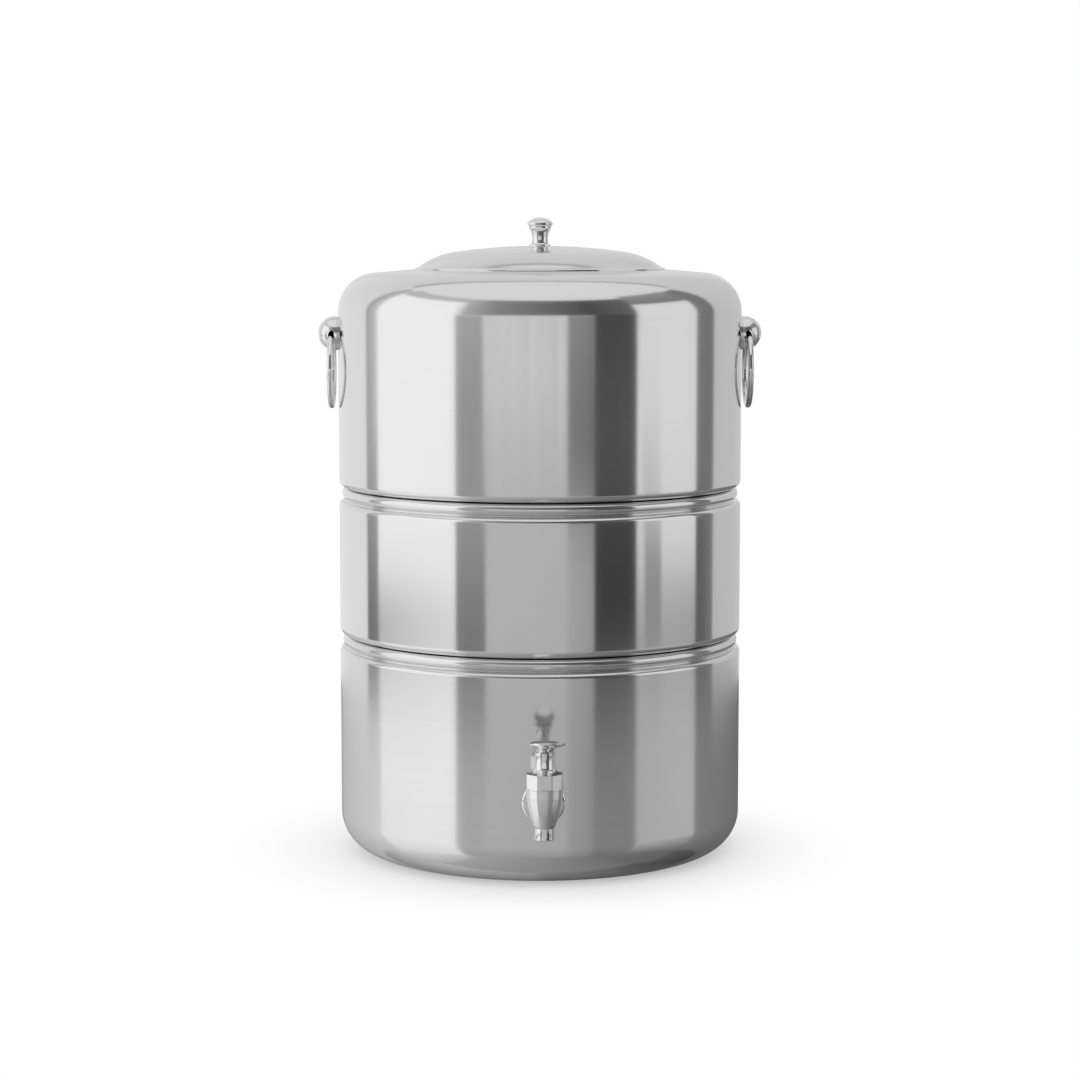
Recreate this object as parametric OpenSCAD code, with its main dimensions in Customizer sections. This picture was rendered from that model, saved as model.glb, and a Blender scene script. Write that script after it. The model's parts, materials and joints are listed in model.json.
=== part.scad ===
// Water dispenser pot: three drawn steel shells joined at two slip seams, a domed
// lid with a turned knob, two ring handles and a small lever tap near the base.
// Millimetres, +Z up, origin at the centre of the face that the pot stands on.
// The tap points along -Y and the ring handles hang on the X axis.

/* [Shells] */
// Height of the whole pot, from its standing face to the knob's top
overall_h = 265; // [240:1:300]
// Outer diameter of the three shells
body_d = 168; // [150:1:190]
// Sheet thickness of the shells
sheet = 0.8; // [0.6:0.1:1.2]
// Diameter of the flat that the pot stands on
base_flat_d = 135; // [110:1:145]
// Height of the lower seam line
lower_seam_z = 92; // [80:1:110]
// Height of the upper seam line
upper_seam_z = 153.5; // [140:0.5:175]
// Outer radius of the shoulder bend
shoulder_r = 16; // [10:0.5:22]
// Rise of the crown from the shoulder to the mouth, in degrees
crown_slope = 5; // [2:0.5:8]

/* [Seams] */
// Bend radius of the edge turned in at the bottom of an upper shell
roll_r = 2.75; // [2.2:0.05:3.2]
// Bend radius at the top of a lower shell's wall
step_r = 2.25; // [1.9:0.05:2.8]
// Radius of the bead round a collar
bead_r = 2.6; // [2.3:0.1:3.4]
// Depth of the bead's crest behind the wall
bead_inset = 1.2; // [0.9:0.1:1.5]
// Radius of the groove between the bead and the wall
groove_r = 0.4; // [0.3:0.1:0.6]
// Opening between a turned-in edge and the bead below it
seam_gap = 0.4; // [0.2:0.1:0.8]
// Height of the collar's spigot inside the shell above
spigot_h = 8; // [6:0.5:12]
// Radial clearance between a spigot and the edge round it
spigot_clear = 0.1; // [0.05:0.05:0.2]
// Height of the solder ring in a seam
solder_h = 3; // [2:0.5:4]

/* [Mouth and lid] */
// Inner diameter of the mouth
mouth_d = 97; // [88:0.5:99]
// Bend radius of the mouth's edge
mouth_bend = 1.8; // [1.4:0.1:2.4]
// Depth of the neck below its bend
neck_h = 6; // [4:0.5:10]
// Sheet thickness of the lid
lid_sheet = 0.5; // [0.4:0.1:0.6]
// Outer diameter of the lid's brim
brim_d = 104; // [103.5:0.5:110]
// Gap between the brim and the crown under it
brim_gap = 0.15; // [0.1:0.05:0.3]
// Width of the brim's bevelled top
brim_w = 1.2; // [0.9:0.1:1.6]
// Slope of the brim's bevelled top, in degrees
brim_slope = 20; // [18:1:24]
// Thickness of the brim at its edge
brim_edge_t = 0.15; // [0.12:0.01:0.3]
// Radius of the lid's crown
dome_r = 245; // [200:5:290]
// Slope where the lid's crown turns into its edge, in degrees
dome_turn = 8.3; // [7:0.1:9]
// Slope at the foot of the lid's edge, in degrees
edge_slope = 36.5; // [34:0.5:39]
// Radius of the fillet between the lid's edge and its brim
brim_fillet = 2.5; // [2:0.5:4]
// Radial clearance between the lid's skirt and the mouth
skirt_clear = 0.6; // [0.4:0.1:1.2]
// Gap between the skirt's lip and the dome over it
skirt_gap = 0.15; // [0.12:0.01:0.3]
// Depth of the skirt below the mouth's edge
skirt_drop = 7; // [5:0.5:12]
// Bend radius at the top of the skirt
skirt_bend = 1.5; // [1.2:0.1:2]

/* [Knob] */
// Height of the knob above the lid
knob_h = 11.7; // [9:0.1:14]
// Diameter of the knob's cap
knob_cap_d = 10.6; // [9:0.1:13]
// Diameter of the knob's waist
knob_waist_d = 6.7; // [6:0.1:7.5]
// Diameter of the knob's foot
knob_foot_d = 9.2; // [8:0.1:10.4]
// Thickness of the knob's foot
knob_foot_h = 0.3; // [0.2:0.1:0.6]
// Height of the knob's waist above the lid
knob_waist_up = 2.6; // [2:0.1:3.2]
// Height of the cap above its widest line
knob_cap_h = 2.65; // [2:0.05:3.2]
// Radius of the rounded edge of the cap
knob_edge_r = 1.2; // [1:0.1:1.5]
// Thickness of the ring under the cap
knob_ring_t = 0.35; // [0.2:0.05:0.5]
// Depth of the ring's edge behind the cap's edge
knob_ring_in = 0.55; // [0.4:0.05:0.8]
// Depth of the groove over the ring, and of the step under it
knob_groove = 0.25; // [0.15:0.05:0.4]
// Distance of the groove below the cap's widest line
knob_groove_drop = 1.15; // [1:0.05:1.4]
// Height of the flare under the ring
knob_flare_h = 1.5; // [1:0.1:2]
// Diameter of the knob's screw
knob_screw_d = 3.2; // [3:0.1:4]
// Depth of the screw in the knob
knob_screw_depth = 6; // [4:0.5:7.5]
// Diameter of the washer under the lid
knob_washer_d = 9; // [8:0.5:12]
// Thickness of the washer under the lid
knob_washer_t = 0.8; // [0.6:0.1:1.2]
// Width across the flats of the screw's head
knob_head_af = 6; // [5.5:0.5:7]
// Height of the screw's head
knob_head_h = 2.4; // [2:0.1:3]

/* [Ring handles] */
// Diameter of a lug's ball
ball_d = 14.1; // [12:0.1:17]
// Distance of the ball's centre outside the wall
ball_out = 1.45; // [0.8:0.05:2.5]
// Distance of the ball's centre below the shoulder's bend
lug_drop = 9.09; // [8.5:0.01:20]
// Diameter of the ring's wire
ring_wire_d = 2.5; // [2:0.1:3]
// Mean diameter of the ring
ring_d = 29.9; // [26:0.1:40]
// Distance of the ring's plane outside the wall
ring_out = 3; // [2.6:0.1:4]
// Clearance between the ring's wire and its hole
ring_clear = 0.2; // [0.15:0.05:0.4]
// Distance of the ring's hole below the ball's centre
ring_hole_drop = 0.95; // [0.5:0.05:1.5]
// Diameter of the lug's threaded stud
stud_d = 4.8; // [4:0.1:6]
// Length of the stud inside the wall
stud_in = 7; // [6:0.5:10]
// Diameter of the washer on the stud
lug_washer_d = 9.6; // [9:0.1:12]
// Thickness of the washer on the stud
lug_washer_t = 1; // [0.8:0.1:1.2]
// Width across the flats of the nut on the stud
lug_nut_af = 8; // [8:0.5:10]
// Thickness of the nut on the stud
lug_nut_t = 3.8; // [3:0.1:4.5]

/* [Tap] */
// Distance of the tap's upright axis outside the wall
tap_reach = 20; // [17:0.5:26]
// Height of the tap's inlet
inlet_z = 35.5; // [32:0.5:40]
// Height of the spout's mouth below the inlet
spout_drop = 11; // [10.5:0.1:14]
// Outer diameter of the spout's mouth
spout_d = 8.1; // [7.8:0.1:10]
// Outer diameter of the spout's waist
spout_waist_d = 7.6; // [7:0.1:7.8]
// Height of the spout's waist above its mouth
spout_waist_up = 4.7; // [4:0.1:5.5]
// Radius of the spout's lip
spout_lip_r = 0.4; // [0.2:0.1:0.6]
// Height of the flare above the spout's lip
spout_flare_h = 2.4; // [1.5:0.1:3]
// Step from the spout's waist to the barrel
spout_step = 0.4; // [0.2:0.1:0.7]
// Bore of the spout
spout_bore = 4.6; // [4:0.1:5]
// Outer diameter of the tap's barrel at its top
barrel_d = 14.2; // [12.6:0.1:15]
// Height of the straight band at the barrel's top
barrel_band_h = 3.2; // [2:0.1:4]
// Stand-out of the band from the barrel under it
barrel_band_out = 0.15; // [0.1:0.05:0.3]
// Draw-in of the barrel's curve at the inlet's height
barrel_draw = 0.5; // [0.2:0.1:1.4]
// Inner diameter of the valve chamber
chamber_d = 9.2; // [8.6:0.1:9.8]
// Distance of the valve seat below the inlet's axis
seat_drop = 4.5; // [4.2:0.1:4.8]
// Height of the barrel's top above the inlet
barrel_up = 8.9; // [7:0.1:10]
// Diameter of the flange on the wall
flange_d = 17.3; // [15:0.1:22]
// Thickness of the flange on the wall
flange_t = 2.2; // [1.6:0.1:3]
// Width of the flange's flat round the pipe
flange_flat = 1; // [0.5:0.1:1.6]
// Outer diameter of the inlet pipe
pipe_d = 10.4; // [10:0.1:11.5]
// Outer diameter of the threaded shank
shank_d = 10; // [9:0.1:10.4]
// Bore of the inlet
inlet_bore = 5.6; // [4.5:0.1:6.5]
// Length of the shank inside the wall
shank_in = 14; // [13:0.5:20]
// Thickness of a rubber gasket at its middle
gasket_t = 1.6; // [1.2:0.1:2.4]
// Depth of a gasket's edge behind the flange's edge
gasket_inset = 0.3; // [0.1:0.1:0.8]
// Clearance round a shank, stud, screw or disc in a plain hole
hole_clear = 0.2; // [0.1:0.05:0.4]
// Thickness of the steel washer on the shank
tap_washer_t = 1.2; // [0.8:0.1:2]
// Width across the flats of the lock nut
tap_nut_af = 16; // [15:0.5:20]
// Thickness of the lock nut
tap_nut_t = 5; // [4:0.5:6]

/* [Tap bonnet and valve] */
// Diameter of the bonnet's collar
bonnet_d = 14.6; // [13.6:0.1:16]
// Height of the bonnet's collar
bonnet_h = 6.3; // [5.5:0.1:8]
// Height of the cove on top of the collar
bonnet_cove_h = 2.4; // [1.8:0.1:3]
// Height of the ridge at the collar's foot
ridge_h = 0.8; // [0.5:0.1:1.2]
// Stand-out of the ridge at the collar's foot
ridge_out = 0.2; // [0.1:0.05:0.3]
// Bevel at the collar's top
bonnet_bevel = 0.3; // [0.2:0.05:0.5]
// Distance of the cove's corner from the neck and from the collar's top
bonnet_cove = 0.5; // [0.3:0.1:0.8]
// Diameter of the bonnet's neck
bonnet_neck_d = 7.4; // [7.1:0.1:8.4]
// Height of the bonnet's neck
bonnet_neck_h = 5.8; // [5:0.1:9]
// Length of the bonnet's threaded spigot in the barrel
bonnet_spigot = 3; // [2:0.1:3.4]
// Diameter of the spring's chamber in the bonnet
spring_bore = 5.6; // [5.4:0.1:6]
// Diameter of the valve stem
stem_d = 2.6; // [2.4:0.1:2.8]
// Running clearance of the stem and of threads
run_clear = 0.1; // [0.05:0.05:0.12]
// Length of the bonnet's bore that guides the stem
guide_h = 4.5; // [3.5:0.1:5.5]
// Thickness of the rubber seat cup
seat_t = 2.8; // [2.2:0.1:3.2]
// Lap of the seat cup over the spout's bore
cup_lap = 1.55; // [1.2:0.05:1.8]
// Bevel at the top of the seat cup
cup_bevel = 0.6; // [0.3:0.1:0.8]
// Rubber left under the stem's foot
cup_floor = 1.1; // [0.8:0.1:1.4]
// Thickness of the stem's disc under the spring
stem_disc_t = 0.8; // [0.6:0.1:1.2]
// Thickness of the flat tongue at the stem's top
tongue_t = 1.8; // [1.6:0.1:2]
// Length of the flats below the pin
tongue_drop = 3.2; // [2.8:0.1:3.8]
// Wire diameter of the valve spring
spring_wire = 0.6; // [0.5:0.05:0.7]
// Turns of the valve spring
spring_turns = 9; // [6:1:12]

/* [Lever] */
// Diameter of the lever's heel on the bonnet
heel_d = 6.4; // [6:0.1:6.8]
// Gap between the heel and the bonnet
heel_gap = 0.05; // [0.02:0.01:0.1]
// Height of the lever's hub
hub_h = 3.5; // [3.2:0.1:4.5]
// Diameter of the hub's upper edge
hub_d = 11.8; // [10.4:0.1:13]
// Thickness of the hub's rim
hub_rim_t = 0.4; // [0.3:0.1:1]
// Bevel at the hub's top
hub_bevel = 0.3; // [0.2:0.1:0.8]
// Room beyond the stem at each end of the lever's slot
slot_room = 1.35; // [1.3:0.05:1.5]
// Height of the lever's pin above its heel
pin_up = 1.5; // [1.4:0.05:1.7]
// Diameter of the lever's pin
pin_d = 1.2; // [1:0.05:1.3]
// Reach of the paddle from the tap's axis
paddle_reach = 18; // [15:0.5:24]
// Width of the paddle
paddle_w = 14.4; // [12:0.1:18]
// Width of the paddle at the hub
paddle_root_w = 7.8; // [6:0.1:9]
// Depth of the paddle's round belly below its rim's top
paddle_t = 2.2; // [2:0.1:2.6]
// Thickness of the paddle's rim
paddle_rim_t = 0.7; // [0.5:0.1:1]
// Depth of the dish in the paddle's top
dish_depth = 1.1; // [0.8:0.1:1.2]
// Width of the rim round the dish
dish_rim_w = 0.5; // [0.4:0.1:1]
// Upward tilt of the paddle towards its tip, in degrees
paddle_tilt = 11; // [6:0.5:16]
// Turn of the lever and the stem about the tap's axis, in degrees
lever_turn = 5.5; // [-30:0.5:30]

/* [Hidden] */
$fn = 96;
// Facets of a cutter that has the whole wall's radius
wall_fn = 384;
// Largest turn between neighbouring points of a bend, in degrees
bend_step = 7.5;
// Extra length of a cutter past the face that it cuts
over = 1;
// Steps of a pulled curve
curve_steps = 8;
// Distance below which neighbouring points of a path count as one
same_point = 0.001;
// Gap left between fixed pieces that touch on a curved face
touch = 0.02;
// Flat left between the step bend and the groove
groove_flat = 0.05;

body_r = body_d / 2;
bore_r = body_r - sheet;
base_bend_r = body_r - base_flat_d / 2;
spigot_r = body_r - roll_r - spigot_clear;
bead_x = body_r - bead_inset - bead_r;
bead_drop = seam_gap + sqrt(pow(bead_r, 2) - pow(body_r - roll_r - bead_x, 2));
groove_x = body_r - step_r - groove_flat;
groove_drop = sqrt(pow(bead_r + groove_r, 2) - pow(groove_x - bead_x, 2));
step_drop = bead_drop + groove_drop + groove_r + step_r;

mouth_r = mouth_d / 2;
brim_r = brim_d / 2;
crown_turn = [sin(crown_slope), cos(crown_slope)];

knob_seat_r = knob_foot_d / 2;
seat_turn = asin(knob_seat_r / dome_r);
dome_edge_x = brim_r - brim_w - brim_fillet * (sin(edge_slope) - sin(brim_slope));
edge_r = (dome_edge_x - dome_r * sin(dome_turn)) / (sin(edge_slope) - sin(dome_turn));
dome_c_drop = dome_r * cos(seat_turn);
edge_c_drop = dome_c_drop - (dome_r - edge_r) * cos(dome_turn);
edge_x = (dome_r - edge_r) * sin(dome_turn);
fillet_drop = edge_c_drop - edge_r * cos(edge_slope) + brim_fillet * (cos(brim_slope) - cos(edge_slope));
lid_top = overall_h - knob_h;

// The crown lies under the brim, and the shoulder's bend under the crown
brim_z = lid_top - fillet_drop - brim_w * tan(brim_slope) - brim_edge_t;
function crown_z(r) = brim_z - brim_gap + (brim_r - r) * tan(crown_slope);
shoulder_z = crown_z(body_r - shoulder_r + shoulder_r * crown_turn.x) - shoulder_r * crown_turn.y;
mouth_edge_x = mouth_r + mouth_bend;
mouth_edge_z = crown_z(mouth_edge_x + mouth_bend * crown_turn.x) - mouth_bend * crown_turn.y;
skirt_r = mouth_r - skirt_clear;
skirt_path_r = edge_r - lid_sheet - skirt_gap;
skirt_turn = asin((skirt_r - skirt_bend - edge_x) / (skirt_path_r - skirt_bend));
// Width of the skirt's lip under the dome, in degrees
skirt_lip = 5;

knob_cap_r = knob_cap_d / 2;
knob_washer_sag = max(0, pow(knob_washer_d / 2, 2) - pow(knob_seat_r, 2)) / (2 * dome_r);
knob_under = lid_top - lid_sheet - knob_washer_sag - touch;
knob_hole_d = knob_screw_d + 2 * hole_clear;
// Turns of the cap's rounded edge below and above its widest line, in degrees
knob_under_turn = 30;
knob_over_turn = 50;
// Share of the cap's radius where its edge and its crown would meet
knob_crown = 0.55;

lug_z = shoulder_z - lug_drop;
lug_hole_z = lug_z - ring_hole_drop;
ball_x = body_r + ball_out;
ring_x = body_r + ring_out;
ball_half = sqrt(pow(ball_d / 2, 2) - pow(ring_out - ball_out, 2));
ring_sag = ring_d / 2 - sqrt(pow(ring_d / 2, 2) - pow(ball_half, 2));
lug_hole_r = (ring_sag + ring_wire_d) / 2 + ring_clear;
ring_c_z = lug_hole_z + ring_sag / 2 - ring_d / 2;
stud_hole_d = stud_d + 2 * hole_clear;
// Flat seat of a washer on the inside of the wall
function wall_seat(d) = sqrt(pow(bore_r, 2) - pow(d / 2, 2)) - touch;

tap_y = -(body_r + tap_reach);
spout_z = inlet_z - spout_drop;
seat_z = inlet_z - seat_drop;
barrel_top = inlet_z + barrel_up;
bonnet_top = barrel_top + bonnet_h;
neck_z = bonnet_top + bonnet_cove_h;
heel_z = neck_z + bonnet_neck_h;
flange_y = -(body_r + gasket_t);
shank_hole_d = shank_d + 2 * hole_clear;
gasket_d = flange_d - 2 * gasket_inset;
gasket_in_y = -(bore_r - gasket_t);
nut_y = gasket_in_y + tap_washer_t;
shank_end_y = -(bore_r - shank_in);
spring_roof_z = heel_z - guide_h;
stem_disc_z = seat_z + seat_t;
spring_foot_z = stem_disc_z + stem_disc_t;
spring_r = (spring_bore + stem_d) / 4;
pin_z = heel_z + heel_gap + pin_up;
// Share of the tip's radius where the paddle's root runs into its round tip
paddle_cheek = 0.6;
// Thickness of the paddle's root
root_t = (paddle_t + paddle_rim_t) / 2;
stem_foot_z = seat_z + cup_floor + touch;
slot_half = stem_d / 2 + slot_room;
hub_cone_h = hub_h - hub_rim_t - hub_bevel;
pin_half = (heel_d + (hub_d - heel_d) * (pin_up - pin_d / 2) / hub_cone_h) / 2;

// Points of an arc about c from angle a to angle b
function arc(c, r, a, b) =
    let (n = max(2, ceil(abs(b - a) / bend_step)))
    [for (i = [0:n]) c + r * [cos(a + (b - a) * i / n), sin(a + (b - a) * i / n)]];

// Points of a curve from p to q that is pulled towards c
function pulled(p, c, q) =
    [for (i = [0:curve_steps]) let (t = i / curve_steps) pow(1 - t, 2) * p + 2 * t * (1 - t) * c + t * t * q];

// A path without points that repeat the one before
function cleaned(path) =
    [for (i = [0:len(path) - 1]) if (i == 0 || norm(path[i] - path[i - 1]) > same_point) path[i]];

// Unit normal to the left of the step from p to q
function left_of(p, q) = [p.y - q.y, q.x - p.x] / norm(q - p);

// A path moved sideways by d, to its left where d is positive
function beside(path, d) =
    [for (i = [0:len(path) - 1])
        let (
            last = len(path) - 1,
            a = left_of(path[max(i - 1, 0)], path[max(i, 1)]),
            b = left_of(path[min(i, last - 1)], path[min(i + 1, last)]),
            m = a + b
        )
        path[i] + m * 2 * d / (m * m)];

// A path from its end to its start
function reversed(path) = [for (i = [len(path) - 1:-1:0]) path[i]];

// A sheet of thickness t on the left of a path, turned about Z
module turned_sheet(path, t) {
    line = cleaned(path);
    rotate_extrude() polygon(concat(line, reversed(beside(line, t))));
}

// Moves a shape from the Z axis to the tap's upright axis
module at_tap() {
    translate([0, tap_y, 0]) children();
}

// Moves a shape from the Z axis to the tap's upright axis and turns it with the lever
module at_lever() {
    at_tap() rotate([0, 0, lever_turn]) children();
}

// A cylinder along Y from y_from to y_to, on the tap's inlet axis
module inlet_cylinder(d, y_from, y_to) {
    translate([0, y_to, inlet_z]) rotate([90, 0, 0]) cylinder(d = d, h = y_to - y_from);
}

// Diameter over the corners of a hexagon with a width af across its flats
function hexagon(af) = af / cos(30);

// A cylinder along X from x_from to x_to at height z
module side_cylinder(d, x_from, x_to, z, sides = $fn) {
    translate([x_from, 0, z]) rotate([0, 90, 0]) cylinder(d = d, h = x_to - x_from, $fn = sides);
}

// Turns a right-hand piece to its side: 1 for right, -1 for left
module on_side(side) {
    rotate([0, 0, side > 0 ? 0 : 180]) children();
}

// Outer line of the edge turned in at the foot of an upper shell
function rolled_edge(seam) = arc([body_r - roll_r, seam + roll_r], roll_r, -90, 0);

// Outer line of the collar at the top of a lower shell: step, groove, bead and spigot
function collar(seam) =
    let (
        bead = [bead_x, seam - bead_drop],
        groove = [groove_x, bead.y - groove_drop],
        foot_turn = atan2(groove.y - bead.y, groove.x - bead.x),
        head_turn = acos((spigot_r - bead_x) / bead_r)
    )
    concat(
        arc([body_r - step_r, seam - step_drop], step_r, 0, 90),
        arc(groove, groove_r, 270, foot_turn + 180),
        arc(bead, bead_r, foot_turn, head_turn),
        [[spigot_r, seam + spigot_h]]
    );

// Bottom, wall and collar of the lowest shell, drilled for the tap
module base_shell() {
    base_bend = [body_r - base_bend_r, base_bend_r];
    color("silver") difference() {
        turned_sheet(concat([[0, 0]], arc(base_bend, base_bend_r, -90, 0), collar(lower_seam_z)), sheet);
        inlet_cylinder(shank_hole_d, -body_r - over, -bore_r + 2 * over);
    }
}

// Wall of the middle shell between its turned-in edge and its collar
module middle_shell() {
    color("gainsboro") turned_sheet(concat(rolled_edge(lower_seam_z), collar(upper_seam_z)), sheet);
}

// Wall, shoulder, crown and neck of the top shell, drilled for the lugs
module top_shell() {
    shoulder = [body_r - shoulder_r, shoulder_z];
    mouth_edge = [mouth_edge_x, mouth_edge_z];
    color("silver") difference() {
        turned_sheet(concat(
            rolled_edge(upper_seam_z),
            arc(shoulder, shoulder_r, 0, 90 - crown_slope),
            arc(mouth_edge, mouth_bend, 90 - crown_slope, 180),
            [[mouth_r, mouth_edge_z - neck_h]]
        ), sheet);
        for (side = [-1, 1])
            on_side(side) side_cylinder(stud_hole_d, bore_r - over, body_r + over, lug_z);
    }
}

// Solder that fills the lap above a turned-in edge, with a fillet up the wall
module seam_ring(seam) {
    foot = seam + roll_r;
    color("lightgrey") rotate_extrude() polygon([
        [spigot_r + touch, foot],
        [bore_r - touch, foot],
        [bore_r - touch, foot + solder_h],
        [spigot_r + touch, foot + solder_h / 2]
    ]);
}

module lower_seam_ring() { seam_ring(lower_seam_z); }

module upper_seam_ring() { seam_ring(upper_seam_z); }

// Domed lid with a flat seat for the knob, a filleted edge and a bevelled brim that lies on the crown
module lid_shell() {
    crown_c = [0, lid_top - dome_c_drop];
    edge_c = [edge_x, lid_top - edge_c_drop];
    fillet_c = edge_c + (edge_r + brim_fillet) * [sin(edge_slope), cos(edge_slope)];
    line = cleaned(concat(
        [[0, lid_top]],
        arc(crown_c, dome_r, 90 - seat_turn, 90 - dome_turn),
        arc(edge_c, edge_r, 90 - dome_turn, 90 - edge_slope),
        arc(fillet_c, brim_fillet, 270 - edge_slope, 270 - brim_slope)
    ));
    color("gainsboro") difference() {
        rotate_extrude() polygon(concat(
            line,
            [[brim_r, brim_z + brim_edge_t], [brim_r, brim_z]],
            reversed(beside(line, -lid_sheet))
        ));
        translate([0, 0, lid_top - lid_sheet - over])
            cylinder(d = knob_hole_d, h = lid_sheet + 2 * over);
    }
}

// Ring under the lid that follows the dome and turns down into the mouth
module lid_skirt() {
    edge_c = [edge_x, lid_top - edge_c_drop];
    bend_c = edge_c + (skirt_path_r - skirt_bend) * [sin(skirt_turn), cos(skirt_turn)];
    color("lightgrey") turned_sheet(concat(
        arc(edge_c, skirt_path_r, 90 - skirt_turn + skirt_lip, 90 - skirt_turn),
        arc(bend_c, skirt_bend, 90 - skirt_turn, 0),
        [[skirt_r, mouth_edge_z - skirt_drop]]
    ), -lid_sheet);
}

// Turned knob: foot, waist, flared neck with a ring under a rounded cap
module lid_knob() {
    cap_z = overall_h - knob_cap_h;
    edge = [knob_cap_r - knob_edge_r, cap_z];
    waist_r = knob_waist_d / 2;
    foot = [knob_foot_d / 2, lid_top + knob_foot_h];
    waist = [waist_r, lid_top + knob_waist_up];
    ring_r = knob_cap_r - knob_ring_in;
    groove_z = cap_z - knob_groove_drop;
    ring_z = groove_z - knob_groove;
    flare = [ring_r - knob_groove, ring_z - knob_ring_t - knob_groove];
    color("whitesmoke") difference() {
        rotate_extrude() polygon(cleaned(concat(
            [[0, lid_top], [foot.x, lid_top]],
            pulled(foot, [waist_r, foot.y], waist),
            pulled(waist, [waist_r, flare.y - knob_flare_h], flare),
            [[ring_r, ring_z - knob_ring_t], [ring_r, ring_z], [ring_r - knob_groove, groove_z]],
            arc(edge, knob_edge_r, -knob_under_turn, knob_over_turn),
            pulled(
                edge + knob_edge_r * [cos(knob_over_turn), sin(knob_over_turn)],
                [knob_crown * knob_cap_r, overall_h],
                [0, overall_h]
            )
        )));
        translate([0, 0, lid_top - over])
            cylinder(d = knob_screw_d + 2 * touch, h = knob_screw_depth + over);
    }
}

// Washer between the lid and the head of the knob's screw
module knob_washer() {
    color("lightgrey") translate([0, 0, knob_under - knob_washer_t]) difference() {
        cylinder(d = knob_washer_d, h = knob_washer_t);
        translate([0, 0, -over]) cylinder(d = knob_hole_d, h = knob_washer_t + 2 * over);
    }
}

// Hexagon screw that holds the knob from under the lid
module knob_screw() {
    head_top = knob_under - knob_washer_t;
    color("lightgrey") {
        translate([0, 0, head_top - knob_head_h])
            cylinder(d = hexagon(knob_head_af), h = knob_head_h, $fn = 6);
        translate([0, 0, head_top - knob_head_h / 2])
            cylinder(d = knob_screw_d, h = lid_top + knob_screw_depth - touch - head_top + knob_head_h / 2);
    }
}

// Ball lug on the wall, with a hole for the ring and a stud through the wall
module ring_lug() {
    color("whitesmoke") difference() {
        union() {
            difference() {
                translate([ball_x, 0, lug_z]) sphere(d = ball_d);
                translate([0, 0, lug_z - ball_d]) cylinder(r = body_r + touch, h = 2 * ball_d, $fn = wall_fn);
            }
            side_cylinder(stud_d, bore_r - stud_in, ball_x, lug_z);
        }
        translate([ring_x, ball_d, lug_hole_z]) rotate([90, 0, 0]) cylinder(r = lug_hole_r, h = 2 * ball_d);
    }
}

module left_lug() { on_side(-1) ring_lug(); }

module right_lug() { on_side(1) ring_lug(); }

// Washer on the stud inside the wall
module lug_washer() {
    seat = wall_seat(lug_washer_d);
    color("lightgrey") difference() {
        side_cylinder(lug_washer_d, seat - lug_washer_t, seat, lug_z);
        side_cylinder(stud_d + 2 * run_clear, seat - lug_washer_t - over, seat + over, lug_z);
    }
}

module left_lug_washer() { on_side(-1) lug_washer(); }

module right_lug_washer() { on_side(1) lug_washer(); }

// Hexagon nut on the stud inside the wall
module lug_nut() {
    seat = wall_seat(lug_washer_d) - lug_washer_t;
    color("lightgrey") difference() {
        side_cylinder(hexagon(lug_nut_af), seat - lug_nut_t, seat, lug_z, sides = 6);
        side_cylinder(stud_d + 2 * touch, seat - lug_nut_t - over, seat + over, lug_z);
    }
}

module left_lug_nut() { on_side(-1) lug_nut(); }

module right_lug_nut() { on_side(1) lug_nut(); }

// Round wire ring that hangs in its lug
module handle_ring() {
    color("whitesmoke") translate([ring_x, 0, ring_c_z]) rotate([0, 90, 0])
        rotate_extrude() translate([ring_d / 2, 0]) circle(d = ring_wire_d);
}

module left_ring() { on_side(-1) handle_ring(); }

module right_ring() { on_side(1) handle_ring(); }

// Tap body: barrel with a flared spout, inlet pipe, wall flange and threaded shank, bored through
module tap_body() {
    waist_z = spout_z + spout_waist_up;
    waist_r = spout_waist_d / 2;
    lip = [spout_d / 2, spout_z + spout_lip_r];
    step = [waist_r + spout_step, waist_z + spout_step];
    band = [barrel_d / 2, barrel_top - barrel_band_h];
    color("whitesmoke") difference() {
        union() {
            at_tap() rotate_extrude() polygon(cleaned(concat(
                [[0, spout_z]],
                arc(lip - [spout_lip_r, 0], spout_lip_r, -90, 0),
                pulled(lip, [waist_r, lip.y + spout_flare_h], [waist_r, waist_z]),
                pulled(step, [band.x - barrel_draw, inlet_z], band - barrel_band_out * [1, 1]),
                [band, [band.x, barrel_top], [0, barrel_top]]
            )));
            inlet_cylinder(pipe_d, tap_y, flange_y - flange_t / 2);
            translate([0, flange_y, inlet_z]) rotate([90, 0, 0]) rotate_extrude() polygon(concat(
                [[0, 0], [flange_d / 2, 0]],
                pulled([flange_d / 2, flange_t / 2], [flange_d / 2, flange_t], [pipe_d / 2 + flange_flat, flange_t]),
                [[0, flange_t]]
            ));
            inlet_cylinder(shank_d, flange_y - flange_t / 2, shank_end_y);
        }
        at_tap() {
            translate([0, 0, spout_z - over]) cylinder(d = spout_bore, h = seat_z - spout_z + 2 * over);
            translate([0, 0, seat_z]) cylinder(d = chamber_d, h = barrel_top - seat_z + over);
        }
        inlet_cylinder(inlet_bore, tap_y, shank_end_y + over);
    }
}

// Rubber gasket between the flange and the outside of the wall
module tap_outer_gasket() {
    color("dimgray") difference() {
        inlet_cylinder(gasket_d, flange_y + touch, -bore_r);
        inlet_cylinder(shank_hole_d, flange_y - over, -bore_r + over);
        translate([0, 0, inlet_z - gasket_d]) cylinder(r = body_r + touch, h = 2 * gasket_d, $fn = wall_fn);
    }
}

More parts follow.
